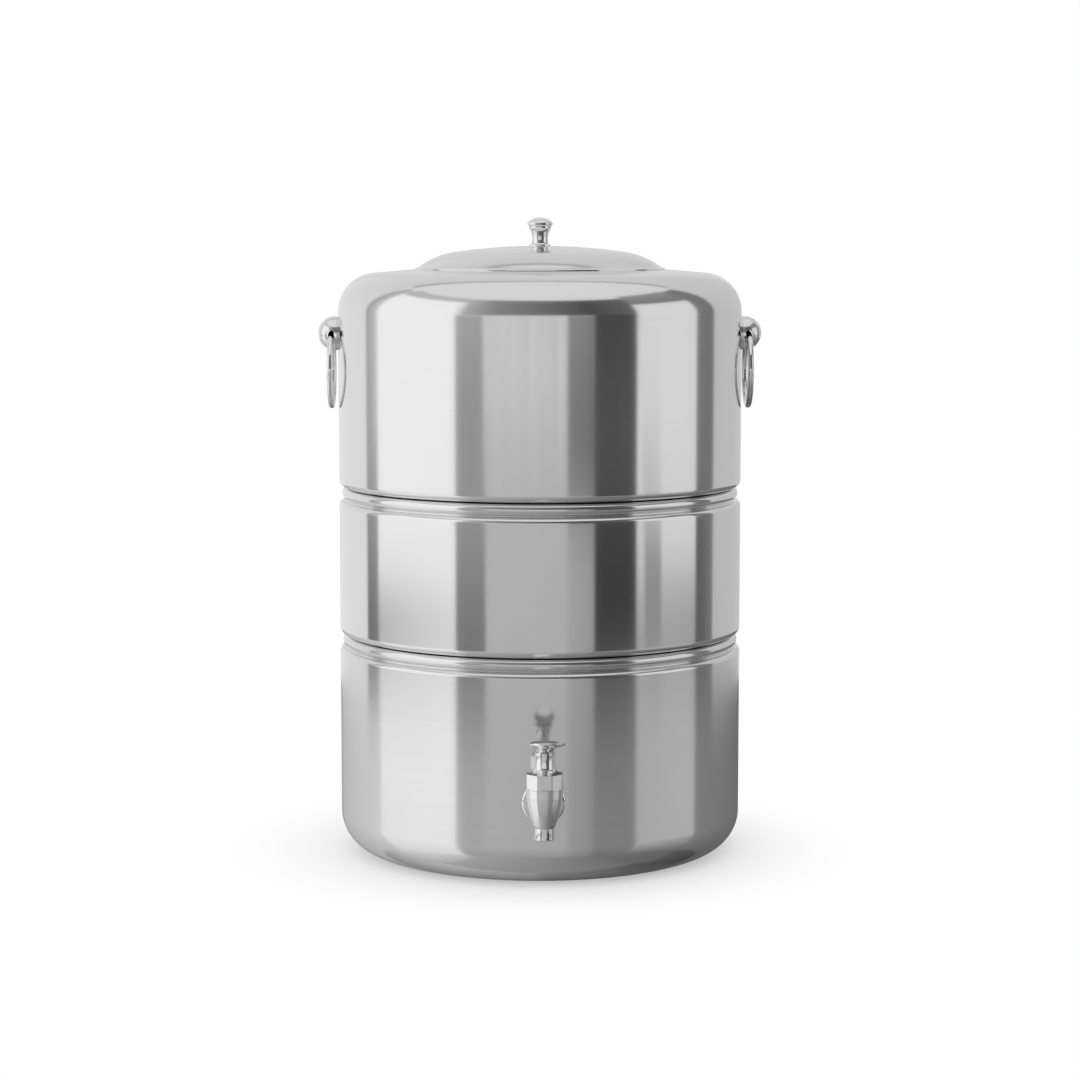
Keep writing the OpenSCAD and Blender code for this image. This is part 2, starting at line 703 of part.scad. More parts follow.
// Rubber gasket between the inside of the wall and the washer
module tap_inner_gasket() {
    color("dimgray") difference() {
        intersection() {
            inlet_cylinder(gasket_d, -body_r, gasket_in_y);
            translate([0, 0, inlet_z - gasket_d]) cylinder(r = bore_r - touch, h = 2 * gasket_d, $fn = wall_fn);
        }
        inlet_cylinder(shank_hole_d, -body_r - over, gasket_in_y + over);
    }
}

// Steel washer under the lock nut
module tap_washer() {
    color("lightgrey") difference() {
        inlet_cylinder(gasket_d, gasket_in_y, nut_y);
        inlet_cylinder(shank_d + 2 * run_clear, gasket_in_y - over, nut_y + over);
    }
}

// Hexagon lock nut on the shank
module tap_lock_nut() {
    color("lightgrey") difference() {
        translate([0, nut_y + tap_nut_t, inlet_z]) rotate([90, 0, 0])
            cylinder(d = hexagon(tap_nut_af), h = tap_nut_t, $fn = 6);
        inlet_cylinder(shank_d + 2 * touch, nut_y - over, nut_y + tap_nut_t + over);
    }
}

// Bonnet: ridge, collar, cove and neck over a threaded spigot, bored for the spring and the stem
module tap_bonnet() {
    collar_r = bonnet_d / 2;
    ridge_r = collar_r + ridge_out;
    neck_r = bonnet_neck_d / 2;
    spigot_d = chamber_d - 2 * run_clear;
    color("whitesmoke") at_tap() difference() {
        union() {
            rotate_extrude() polygon(concat(
                [
                    [0, barrel_top],
                    [collar_r, barrel_top],
                    [ridge_r, barrel_top + ridge_out],
                    [ridge_r, barrel_top + ridge_h - ridge_out],
                    [collar_r, barrel_top + ridge_h],
                    [collar_r, bonnet_top - bonnet_bevel]
                ],
                pulled(
                    [collar_r - bonnet_bevel, bonnet_top],
                    [neck_r + bonnet_cove, bonnet_top + bonnet_cove],
                    [neck_r, neck_z]
                ),
                [[neck_r, heel_z], [0, heel_z]]
            ));
            translate([0, 0, barrel_top - bonnet_spigot]) cylinder(d = spigot_d, h = bonnet_spigot + over);
        }
        translate([0, 0, barrel_top - bonnet_spigot - over])
            cylinder(d = spring_bore, h = spring_roof_z - barrel_top + bonnet_spigot + over);
        cylinder(d = stem_d + 2 * run_clear, h = heel_z + over);
    }
}

// Rubber cup that closes the seat round the spout's bore
module seat_cup() {
    cup_r = spout_bore / 2 + cup_lap;
    color("dimgray") at_tap() difference() {
        rotate_extrude() polygon([
            [0, seat_z],
            [cup_r, seat_z],
            [cup_r, seat_z + seat_t - cup_bevel],
            [cup_r - cup_bevel, seat_z + seat_t],
            [0, seat_z + seat_t]
        ]);
        translate([0, 0, seat_z + cup_floor]) cylinder(d = stem_d + 2 * touch, h = seat_t);
    }
}

// Valve stem: foot in the cup, disc under the spring and a flat tongue for the lever's pin
module valve_stem() {
    color("lightgrey") at_lever() difference() {
        union() {
            difference() {
                translate([0, 0, stem_foot_z]) cylinder(d = stem_d, h = pin_z - stem_foot_z);
                for (side = [-1, 1])
                    translate([side * tongue_t - tongue_t / 2, -stem_d, pin_z - tongue_drop])
                        cube([tongue_t, 2 * stem_d, tongue_drop + over]);
            }
            side_cylinder(stem_d, -tongue_t / 2, tongue_t / 2, pin_z);
            translate([0, 0, stem_disc_z]) cylinder(d = spring_bore - 2 * hole_clear, h = stem_disc_t);
        }
        side_cylinder(pin_d + 2 * run_clear, -stem_d, stem_d, pin_z);
    }
}

// Sides of the spring's wire and its steps in a turn
spring_sides = 6;
spring_steps = 8;
spring_rings = spring_steps * spring_turns;
spring_low = spring_foot_z + spring_wire / 2 + touch;
spring_rise = spring_roof_z - spring_wire / 2 - touch - spring_low;
// Centre of the spring's wire at step i
function helix(i) =
    let (a = 360 * i * spring_turns / spring_rings)
    [spring_r * cos(a), spring_r * sin(a), spring_low + spring_rise * i / spring_rings];
// Ring of points round the spring's wire at step i
function wire_ring(i) =
    let (
        a = 360 * i * spring_turns / spring_rings,
        along = [-sin(a), cos(a), spring_rise / (2 * PI * spring_r * spring_turns)],
        out = [cos(a), sin(a), 0],
        up = cross(out, along / norm(along))
    )
    [for (k = [0:spring_sides - 1])
        let (b = 360 * k / spring_sides)
        helix(i) + spring_wire / 2 * (cos(b) * out + sin(b) * up)];

// Compression spring that holds the cup on its seat
module valve_spring() {
    n = spring_sides;
    last = spring_rings * n;
    points = [for (i = [0:spring_rings]) each wire_ring(i)];
    sides = [for (i = [0:spring_rings - 1], k = [0:n - 1])
        let (a = i * n + k, b = i * n + (k + 1) % n)
        each [[a, b + n, b], [a, a + n, b + n]]];
    ends = [for (k = [1:n - 2]) each [[0, k, k + 1], [last, last + k + 1, last + k]]];
    color("grey") at_tap() polyhedron(points, concat(sides, ends));
}

// Pin that joins the lever to the stem's tongue
module lever_pin() {
    color("lightgrey") at_lever() side_cylinder(pin_d, -pin_half, pin_half, pin_z);
}

// Radius of a ball that rises by h from its lowest point to a circle of radius r
function ball_radius(r, h) = (pow(r, 2) + pow(h, 2)) / (2 * h);

// Paddle with its rim's top at Z = 0: a round bowl at the tip, joined to the hub by a flat root
module paddle() {
    tip_r = paddle_w / 2;
    tip_y = tip_r - paddle_reach;
    belly = ball_radius(tip_r, paddle_t - paddle_rim_t);
    dish = ball_radius(tip_r - dish_rim_w, dish_depth);
    cheek = paddle_cheek * tip_r;
    root = paddle_root_w / 2;
    difference() {
        union() {
            intersection() {
                translate([0, tip_y, -paddle_t]) cylinder(r = tip_r, h = paddle_t);
                translate([0, tip_y, belly - paddle_t]) sphere(r = belly);
            }
            translate([0, 0, -root_t]) linear_extrude(height = root_t)
                polygon([[-root, 0], [root, 0], [cheek, tip_y], [-cheek, tip_y]]);
        }
        translate([0, tip_y, dish - dish_depth]) sphere(r = dish);
    }
}

// Lever: flared hub on a round heel with a dished paddle, slotted for the stem
module tap_lever() {
    foot_z = heel_z + heel_gap;
    top_z = foot_z + hub_h;
    slot_w = tongue_t + 2 * run_clear;
    color("whitesmoke") at_lever() difference() {
        union() {
            rotate_extrude() polygon([
                [0, foot_z],
                [heel_d / 2, foot_z],
                [hub_d / 2, foot_z + hub_cone_h],
                [hub_d / 2, top_z - hub_bevel],
                [hub_d / 2 - hub_bevel, top_z],
                [0, top_z]
            ]);
            translate([0, 0, top_z - hub_bevel]) rotate([-paddle_tilt, 0, 0]) paddle();
        }
        translate([-slot_w / 2, -slot_half, foot_z - over]) cube([slot_w, 2 * slot_half, pin_up + over]);
        side_cylinder(stem_d + 2 * run_clear, -slot_w / 2, slot_w / 2, pin_z);
        side_cylinder(pin_d + 2 * touch, -hub_d, hub_d, pin_z);
    }
}

base_shell();
middle_shell();
top_shell();
lower_seam_ring();
upper_seam_ring();
lid_shell();
lid_skirt();
lid_knob();
knob_washer();
knob_screw();
left_lug();
right_lug();
left_lug_washer();
right_lug_washer();
left_lug_nut();
right_lug_nut();
left_ring();
right_ring();
tap_body();
tap_outer_gasket();
tap_inner_gasket();
tap_washer();
tap_lock_nut();
tap_bonnet();
seat_cup();
valve_stem();
valve_spring();
lever_pin();
tap_lever();
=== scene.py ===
"""Looks of the water dispenser pot: polished steel shells, lid, ring handles and a bright lever tap."""
import json
import logging
import math
from dataclasses import dataclass, field
from enum import Enum
from functools import partial

import bpy
import numpy as np
from mathutils import Matrix, Vector


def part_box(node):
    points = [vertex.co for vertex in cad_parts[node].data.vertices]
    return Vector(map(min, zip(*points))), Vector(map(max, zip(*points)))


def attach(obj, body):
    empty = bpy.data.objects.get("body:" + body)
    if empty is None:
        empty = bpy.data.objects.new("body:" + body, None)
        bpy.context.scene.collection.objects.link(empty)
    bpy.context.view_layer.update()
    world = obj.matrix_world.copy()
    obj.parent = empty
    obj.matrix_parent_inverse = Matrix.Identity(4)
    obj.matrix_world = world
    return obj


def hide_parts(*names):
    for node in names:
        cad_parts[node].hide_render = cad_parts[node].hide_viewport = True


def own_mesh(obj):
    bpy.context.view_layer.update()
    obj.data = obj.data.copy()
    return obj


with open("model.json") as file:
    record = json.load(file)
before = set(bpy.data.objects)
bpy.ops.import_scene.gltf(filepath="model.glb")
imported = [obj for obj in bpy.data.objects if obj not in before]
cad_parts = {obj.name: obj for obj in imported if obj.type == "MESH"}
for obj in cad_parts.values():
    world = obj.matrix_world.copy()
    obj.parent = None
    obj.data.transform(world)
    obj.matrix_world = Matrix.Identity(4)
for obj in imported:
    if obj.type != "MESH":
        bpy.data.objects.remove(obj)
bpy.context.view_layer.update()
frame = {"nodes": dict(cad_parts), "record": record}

Point = tuple[float, float]
Path = list[Point]
Colour = tuple[float, float, float]
Piece = bpy.types.Object
Socket = bpy.types.NodeSocket

MM = 0.001  # metres in a millimetre
BEND_STEP = 2.5  # degrees between the points of an arc
CURVE_STEPS = 16  # steps along a pulled curve
SAME_POINT = 0.001  # millimetres up to which two points are one
LONG_STRAIGHT = 4  # millimetres from which the ends of a straight are held
HOLD = 0.4  # millimetres from the end of a straight to the point that holds it
SHARP_EDGE = 32  # degrees from which an edge stays sharp
FRONT = -90  # degrees round the pot to the tap
NOISE_SPAN = (0.3, 0.7)  # values that most of a noise lies between
PAINTED_SHADE: Colour = (0.012, 0.012, 0.012)  # painted shade: near-black colour for the seams' crevices and the lugs' ring holes

log = logging.getLogger("pot")


class Slot(Enum):
    """Material slots of the record."""

    SHELL = "shell_steel"
    LID = "lid_steel"
    BRIGHT = "bright_metal"
    HARDWARE = "hardware_steel"
    SOLDER = "solder"
    RUBBER = "seal_rubber"


class Body(Enum):
    """Bodies that the new pieces ride on."""

    ROOT = "root"
    LID = "lid"
    LEFT_RING = "left_ring"
    RIGHT_RING = "right_ring"
    LEVER = "lever"


class Side(Enum):
    """Sides of the pot as the camera sees them, with their turns from the right in degrees."""

    LEFT = 180
    RIGHT = 0


class Cut(Enum):
    """Ways to shape a solid with another."""

    ADD = "UNION"
    TAKE = "DIFFERENCE"


def arc(centre: Point, radius: float, start: float, end: float) -> Path:
    """Points of an arc.

    Args:
        centre: Centre of the arc.
        radius: Radius of the arc.
        start: Angle of the first point, in degrees.
        end: Angle of the last point, in degrees.

    Returns:
        The points from start to end.
    """
    count = max(2, math.ceil(abs(end - start) / BEND_STEP))
    turns = [math.radians(start + (end - start) * i / count) for i in range(count + 1)]
    return [(centre[0] + radius * math.cos(t), centre[1] + radius * math.sin(t)) for t in turns]


def pulled(first: Point, control: Point, last: Point) -> Path:
    """Points of a curve that is pulled towards a control point.

    Args:
        first: Start of the curve.
        control: Point that pulls the curve.
        last: End of the curve.

    Returns:
        The points from first to last.
    """
    path = []
    for i in range(CURVE_STEPS + 1):
        t = i / CURVE_STEPS
        weights = ((1 - t) ** 2, 2 * t * (1 - t), t * t)
        path.append(tuple(sum(w * p[k] for w, p in zip(weights, (first, control, last))) for k in (0, 1)))
    return path


def cleaned(path: Path) -> Path:
    """Drops points that repeat the one before.

    Args:
        path: Points in millimetres.

    Returns:
        The path without repeats.
    """
    kept = [path[0]]
    for point in path[1:]:
        if math.dist(point, kept[-1]) > SAME_POINT:
            kept.append(point)
    return kept


def held(path: Path) -> Path:
    """Adds points close to the ends of each long straight, which smooth shading then keeps straight.

    Args:
        path: Points in millimetres.

    Returns:
        The path with the points added and without repeats.
    """
    line = cleaned(path)
    kept = [line[0]]
    for first, last in zip(line, line[1:]):
        length = math.dist(first, last)
        if length > LONG_STRAIGHT:
            for share in (HOLD / length, 1 - HOLD / length):
                kept.append(tuple(a + (b - a) * share for a, b in zip(first, last)))
        kept.append(last)
    return kept


def beside(path: Path, distance: float) -> Path:
    """Moves a path sideways.

    Args:
        path: Points of the path.
        distance: Offset to the left, negative for the right.

    Returns:
        The parallel path.
    """
    points = np.array(path)
    steps = np.diff(points, axis=0)
    steps /= np.linalg.norm(steps, axis=1)[:, None]
    normals = np.stack([-steps[:, 1], steps[:, 0]], axis=1)
    before = np.vstack([normals[:1], normals])
    after = np.vstack([normals, normals[-1:]])
    middle = before + after
    shifted = points + middle * (2 * distance / (middle**2).sum(axis=1))[:, None]
    return [tuple(point) for point in shifted]


def sheet_outline(path: Path, thickness: float) -> Path:
    """Closed outline of a sheet bent along a path, with its thickness to the left of the path."""
    line = held(path)
    return line + beside(line, thickness)[::-1]


def new_piece(name: str, points: list, faces: list, place: Matrix = Matrix.Identity(4)) -> Piece:
    """Makes a mesh object whose own origin stays at the frame's.

    Args:
        name: Name of the object and its mesh.
        points: Vertex positions in metres.
        faces: Vertex numbers of each face.
        place: Move of all the points.

    Returns:
        The linked object.
    """
    mesh = bpy.data.meshes.new(name)
    mesh.from_pydata(points, [], faces)
    mesh.validate()
    mesh.update()
    mesh.transform(place)
    piece = bpy.data.objects.new(name, mesh)
    bpy.context.scene.collection.objects.link(piece)
    return piece


def moved(x: float, y: float, z: float) -> Matrix:
    """A move in millimetres."""
    return Matrix.Translation((x * MM, y * MM, z * MM))


def spun(turn: float, axis: str) -> Matrix:
    """A turn in degrees about an axis."""
    return Matrix.Rotation(math.radians(turn), 4, axis)


def outward(height: float, turn: float) -> Matrix:
    """Place of an axis that points straight out of the pot, at a height and in a direction in degrees."""
    return moved(0, 0, height) @ spun(turn, "Z") @ spun(90, "Y")


def oblong(half_x: float, half_y: float) -> Path:
    """Corners of an oblong about the origin."""
    return [(-half_x, -half_y), (half_x, -half_y), (half_x, half_y), (-half_x, half_y)]


def turned(name: str, outline: Path, steps: int, place: Matrix = Matrix.Identity(4)) -> Piece:
    """Turns a closed outline into a solid about Z.

    Args:
        name: Name of the solid.
        outline: Radius and height of each corner in millimetres, counter-clockwise.
        steps: Steps round the axis.
        place: Move from the Z axis to the solid's own axis.

    Returns:
        The turned solid.
    """
    rings, points = [], []
    for radius, height in cleaned(outline):
        if radius < SAME_POINT:
            rings.append([len(points)] * steps)
            points.append((0, 0, height * MM))
            continue
        rings.append(list(range(len(points), len(points) + steps)))
        for j in range(steps):
            turn = 2 * math.pi * j / steps
            points.append((radius * MM * math.cos(turn), radius * MM * math.sin(turn), height * MM))
    faces = []
    for ring, after in zip(rings, rings[1:] + rings[:1]):
        if len(set(ring)) == 1 and len(set(after)) == 1:
            continue
        for j in range(steps):
            k = (j + 1) % steps
            corners = [ring[j], ring[k], after[k], after[j]]
            faces.append(list(dict.fromkeys(corners)))
    return new_piece(name, points, faces, place)


def rod(across: float, start: float, end: float, place: Matrix, steps: int) -> Piece:
    """A round rod of a diameter, from a start to an end on its axis, in millimetres."""
    return turned("rod", [(0, start), (across / 2, start), (across / 2, end), (0, end)], steps, place)


def block(corners: Path, low: float, high: float, place: Matrix) -> Piece:
    """A block with upright sides.

    Args:
        corners: Corners of its plan in millimetres, counter-clockwise.
        low: Height of its foot.
        high: Height of its top.
        place: Place of its own origin.

    Returns:
        The block.
    """
    count = len(corners)
    points = [(x * MM, y * MM, z * MM) for z in (low, high) for x, y in corners]
    sides = [[i, (i + 1) % count, count + (i + 1) % count, count + i] for i in range(count)]
    ends = [list(range(count))[::-1], list(range(count, 2 * count))]
    return new_piece("block", points, [*ends, *sides], place)


def ball_radius(radius: float, rise: float) -> float:
    """Radius of a ball that rises by some height from its lowest point to a circle of some radius."""
    return (radius**2 + rise**2) / (2 * rise)


def shaped(piece: Piece, way: Cut, *others: Piece) -> Piece:
    """Adds solids to a piece or takes them away, one by one, and removes them.

    Args:
        piece: The solid that changes.
        way: Whether the others are added or taken away.
        others: The solids that are used up.

    Returns:
        The changed piece.
    """
    for other in others:
        modifier = piece.modifiers.new("cut", "BOOLEAN")
        modifier.object = other
        modifier.operation = way.value
        modifier.solver = "MANIFOLD"
        bpy.context.view_layer.update()
        evaluated = piece.evaluated_get(bpy.context.evaluated_depsgraph_get())
        result = bpy.data.meshes.new_from_object(evaluated)
        piece.modifiers.clear()
        old = piece.data
        piece.data = result
        result.name = piece.name
        bpy.data.meshes.remove(old)
        bpy.data.objects.remove(other)
    return piece


class NodeSheet:
    """A new material and its node tree, with short ways to add and join nodes."""

    def __init__(self, name: str) -> None:
        """Starts a material with an empty node tree.

        Args:
            name: Name of the material.
        """
        self.material = bpy.data.materials.new(name)
        self.material.use_nodes = True
        self.tree = self.material.node_tree
        self.tree.nodes.clear()

    def feed(self, target: Socket, source: object) -> None:
        """Joins an output to an input, or sets the input to a value.

        Args:
            target: The input.
            source: The output or the value.
        """
        if isinstance(source, Socket):
            self.tree.links.new(source, target)
        else:
            target.default_value = source

    def add(self, kind: str, **values: object) -> bpy.types.Node:
        """Adds a shader node.

        Args:
            kind: Node type, without the words that every shader node's type starts with.
            values: Attributes first, then outputs or values for inputs by name, with spaces as underscores.

        Returns:
            The new node.
        """
        node = self.tree.nodes.new(f"ShaderNode{kind}")
        for name, value in values.items():
            if hasattr(node, name):
                setattr(node, name, value)
            else:
                self.feed(node.inputs[name.replace("_", " ")], value)
        return node

    def math(self, way: str, *terms: object) -> Socket:
        """Adds a math node.

        Args:
            way: Operation of the node.
            terms: Outputs or numbers that it takes.

        Returns:
            The result.
        """
        node = self.add("Math", operation=way)
        for socket, term in zip(node.inputs, terms):
            self.feed(socket, term)
        return node.outputs[0]

    def from_point(self, point: Vector) -> tuple[Socket, list[Socket]]:
        """Measures the place on a piece from a point.

        Args:
            point: The point in metres.

        Returns:
            The place, and its X, Y and Z.
        """
        node = self.add("VectorMath", operation="SUBTRACT")
        self.feed(node.inputs[0], self.add("TexCoord").outputs["Object"])
        self.feed(node.inputs[1], point)
        place = node.outputs[0]
        return place, list(self.add("SeparateXYZ", Vector=place).outputs)

    def off_axis(self, first: Socket, second: Socket) -> Socket:
        """Distance from an axis, out of the two coordinates across it."""
        squares = [self.math("MULTIPLY", part, part) for part in (first, second)]
        return self.math("SQRT", self.math("ADD", *squares))

    def noise(self, place: Socket, scale: float, detail: float, rough: float) -> Socket:
        """Adds a noise of a scale, a detail and a roughness."""
        return self.add("TexNoise", Vector=place, Scale=scale, Detail=detail, Roughness=rough).outputs["Fac"]

    def ramp(
        self, value: Socket, low: float, high: float, span: Point = (0, 1), way: str = "LINEAR"
    ) -> Socket:
        """Maps a value to a range.

        Args:
            value: The value.
            low: Result at the start of the span.
            high: Result at the end of the span.
            span: Start and end of the value's span.
            way: How the result runs between the two.

        Returns:
            The mapped value.
        """
        node = self.add("MapRange", interpolation_type=way, Value=value, To_Min=low, To_Max=high)
        self.feed(node.inputs["From Min"], span[0])
        self.feed(node.inputs["From Max"], span[1])
        return node.outputs[0]

    def blend(self, where: Socket, first: Socket | Colour, second: Colour) -> Socket:
        """Blends two colours.

        Args:
            where: 0 for the first colour and 1 for the second.
            first: The first colour, or an output with it.
            second: The second colour.

        Returns:
            The blended colour.
        """
        start = first if isinstance(first, Socket) else (*first, 1)
        return self.add("Mix", data_type="RGBA", Factor=where, A=start, B=(*second, 1)).outputs["Result"]

    def output(self, shader: bpy.types.Node) -> bpy.types.Material:
        """Joins a shader to the material's output."""
        self.add("OutputMaterial", Surface=shader.outputs[0])
        return self.material

    def relief(self, shader: bpy.types.Node, height: Socket, depth: float) -> None:
        """Gives a shader a fine relief of a depth in metres."""
        bump = self.add("Bump", Strength=1.0, Distance=depth, Height=height)
        self.feed(shader.inputs["Normal"], bump.outputs["Normal"])


@dataclass(frozen=True)
class TurnedMetal:
    """Metal polished on a lathe: fine lines round its axis, dull patches and soft reflections.

    Attributes:
        name: Name of the finish.
        slot: Material slot of the record.
        bright: Reflectance where the polish is best.
        dull: Reflectance where the polish is worst.
        smooth: Roughness where the polish is best.
        rough: Roughness where the polish is worst.
        stretch: How far reflections smear across the lines, from 0 to 1.
        stretch_turn: Turn of that smear from the lines, as a share of a whole turn.
        line_depth: Depth of the lathe lines in metres.
        lines: Lathe lines in a metre.
        line_breaks: Changes along a lathe line in a metre.
        line_rough: Roughness of the lines' noise.
        slant: Share of the radius in the lines' coordinate, with its sign.
        line_share: Share of the lines in the dull patches, from 0 to 1.
        patches: Dull patches in a metre.
        patch_rough: Roughness of the patches' noise.
        detail: Detail of both noises.
        seam_depth: Radius under which the metal by a seam gets painted shade, in metres.
        seam_up: Height of the middle of that metal above the seam, in metres.
        seam_reach: Half its height, in metres.
    """

    name: str
    slot: Slot
    bright: float
    dull: float
    smooth: float
    rough: float
    stretch: float = 0.3
    stretch_turn: float = 0.25
    line_depth: float = 0.000002
    lines: float = 900
    line_breaks: float = 9
    line_rough: float = 0.65
    slant: float = -1
    line_share: float = 0.3
    patches: float = 17
    patch_rough: float = 0.55
    detail: float = 3
    seam_depth: float = 0.0813
    seam_up: float = 0.0045
    seam_reach: float = 0.0055

    def material(self, axis: Vector = Vector((0, 0, 0)), seams: tuple[float, ...] = ()) -> bpy.types.Material:
        """Makes the finish for a piece turned about an upright axis.

        Args:
            axis: A point on the axis.
            seams: Heights of the two seams in metres, whose crevices get painted shade, or none.

        Returns:
            The material.
        """
        sheet = NodeSheet(self.name)
        place, (x, y, z) = sheet.from_point(axis)
        radius = sheet.off_axis(x, y)
        along = sheet.math("MULTIPLY_ADD", radius, self.slant, z)
        scales = ((x, self.line_breaks), (y, self.line_breaks), (along, self.lines))
        scaled = [sheet.math("MULTIPLY", part, scale) for part, scale in scales]
        grain = sheet.add("CombineXYZ", X=scaled[0], Y=scaled[1], Z=scaled[2]).outputs[0]
        lines = sheet.noise(grain, 1, self.detail, self.line_rough)
        patches = sheet.noise(place, self.patches, self.detail, self.patch_rough)
        in_patches = sheet.math("MULTIPLY", patches, 1 - self.line_share)
        polish = sheet.math("MULTIPLY_ADD", lines, self.line_share, in_patches)
        colour = sheet.blend(sheet.ramp(polish, 0, 1, NOISE_SPAN), (self.dull,) * 3, (self.bright,) * 3)
        if seams:
            # Painted shade: the crevice just above each seam, inside the rolled edge, is coloured near black.
            near = [sheet.math("COMPARE", z, seam + self.seam_up, self.seam_reach) for seam in seams]
            inside = sheet.math("LESS_THAN", radius, self.seam_depth)
            painted_seam_shade = sheet.math("MULTIPLY", inside, sheet.math("MAXIMUM", *near))
            colour = sheet.blend(painted_seam_shade, colour, PAINTED_SHADE)
        shader = sheet.add(
            "BsdfPrincipled",
            Metallic=1.0,
            Anisotropic=self.stretch,
            Anisotropic_Rotation=self.stretch_turn,
            Base_Color=colour,
            Roughness=sheet.ramp(polish, self.rough, self.smooth, NOISE_SPAN),
            Tangent=sheet.add("Tangent", direction_type="RADIAL", axis="Z").outputs[0],
        )
        sheet.relief(shader, lines, self.line_depth)
        return sheet.output(shader)


@dataclass(frozen=True)
class PlainFinish:
    """A finish without a lathe's lines: bright castings, stock hardware, solder and rubber.

    Attributes:
        name: Name of the finish.
        slot: Material slot of the record.
        light: Colour of the cleanest places.
        dark: Colour of the dullest places.
        smooth: Least roughness.
        rough: Most roughness.
        metallic: 1 for metal and 0 for rubber.
        grain: Grains in a metre.
        grain_detail: Detail of the grain's noise.
        grain_rough: Roughness of the grain's noise.
        depth: Depth of the grain in metres.
    """

    name: str
    slot: Slot
    light: Colour
    dark: Colour
    smooth: float
    rough: float
    metallic: float = 1.0
    grain: float = 260
    grain_detail: float = 4
    grain_rough: float = 0.6
    depth: float = 0.00001

    def material(self, bore: tuple[Vector, float] | None = None) -> bpy.types.Material:
        """Makes the finish.

        Args:
            bore: Middle and radius of a bore along Y whose inside gets painted shade, in metres, or None.

        Returns:
            The material.
        """
        sheet = NodeSheet(self.name)
        place = sheet.add("TexCoord").outputs["Object"]
        grain = sheet.noise(place, self.grain, self.grain_detail, self.grain_rough)
        colour = sheet.blend(sheet.ramp(grain, 0, 1, NOISE_SPAN), self.dark, self.light)
        # Painted shade: the inside of the bore is coloured near black.
        if bore:
            middle, radius = bore
            x, _, z = sheet.from_point(middle)[1]
            inside = sheet.math("LESS_THAN", sheet.off_axis(x, z), radius)
            colour = sheet.blend(inside, colour, PAINTED_SHADE)
        rough = sheet.ramp(grain, self.rough, self.smooth, NOISE_SPAN)
        shader = sheet.add("BsdfPrincipled", Metallic=self.metallic, Base_Color=colour, Roughness=rough)
        sheet.relief(shader, grain, self.depth)
        return sheet.output(shader)


TOP_STEEL = TurnedMetal("polished_top_shell", Slot.SHELL, 0.80, 0.78, 0.12, 0.15, stretch=0.5)
WALL_STEEL = TurnedMetal("polished_wall", Slot.SHELL, 0.80, 0.77, 0.10, 0.13)
BASE_STEEL = TurnedMetal("satin_base_shell", Slot.SHELL, 0.79, 0.75, 0.12, 0.16, line_depth=0.000003, slant=1)
LID_STEEL = TurnedMetal("polished_lid", Slot.LID, 0.80, 0.77, 0.12, 0.15)
BRIGHT_METAL = TurnedMetal(
    "bright_turned_metal", Slot.BRIGHT, 0.86, 0.82, 0.06, 0.10, stretch=0.2, line_depth=0.000001, lines=2500
)
CAST_BRIGHT = PlainFinish("bright_plating", Slot.BRIGHT, (0.86,) * 3, (0.82,) * 3, 0.07, 0.12, depth=0.000002)
BALL_BRIGHT = PlainFinish(
    "tumbled_plating", Slot.BRIGHT, (0.84,) * 3, (0.79,) * 3, 0.15, 0.20, depth=0.000003
)
HARDWARE = PlainFinish("machined_steel", Slot.HARDWARE, (0.62, 0.63, 0.64), (0.50, 0.51, 0.52), 0.28, 0.42)
SOLDER = PlainFinish(
    "dull_solder", Slot.SOLDER, (0.58, 0.58, 0.58), (0.44, 0.44, 0.45), 0.42, 0.60, depth=0.00006
)
RUBBER = PlainFinish(
    "black_rubber", Slot.RUBBER, (0.045,) * 3, (0.025,) * 3, 0.55, 0.75, metallic=0.0, grain=900
)


def dressed(piece: Piece, material: bpy.types.Material) -> None:
    """Gives a piece one material."""
    piece.data.materials.clear()
    piece.data.materials.append(material)


def placed(
    piece: Piece,
    node: str,
    body: Body,
    finish: TurnedMetal | PlainFinish,
    edge: float = SHARP_EDGE,
    **marks: object,
) -> None:
    """Smooths and dresses a piece and puts it in a CAD node's stead.

    Args:
        piece: The built piece.
        node: The node that it stands for.
        body: The body that it rides on.
        finish: Its finish.
        edge: Angle from which an edge stays sharp, in degrees.
        marks: The axis, the seams or the bore that the finish takes; the seams and the bore get painted
            shade.
    """
    piece.data.shade_smooth()
    piece.data.set_sharp_from_angle(angle=math.radians(edge))
    dressed(piece, finish.material(**marks))
    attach(piece, body.value)
    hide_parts(node)
    log.info("%s stands for %s on %s", piece.name, node, body.value)


def node_box(node: str) -> tuple[Vector, Vector]:
    """Lowest and highest corners of a CAD node in millimetres."""
    lo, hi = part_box(node)
    return lo / MM, hi / MM


def low_corner(node: str) -> Vector:
    """Lowest corner of a CAD node in millimetres."""
    return node_box(node)[0]


def high_corner(node: str) -> Vector:
    """Highest corner of a CAD node in millimetres."""
    return node_box(node)[1]


def middle_height(node: str) -> float:
    """Height of a CAD node's middle in millimetres."""
    lo, hi = node_box(node)
    return (lo.z + hi.z) / 2


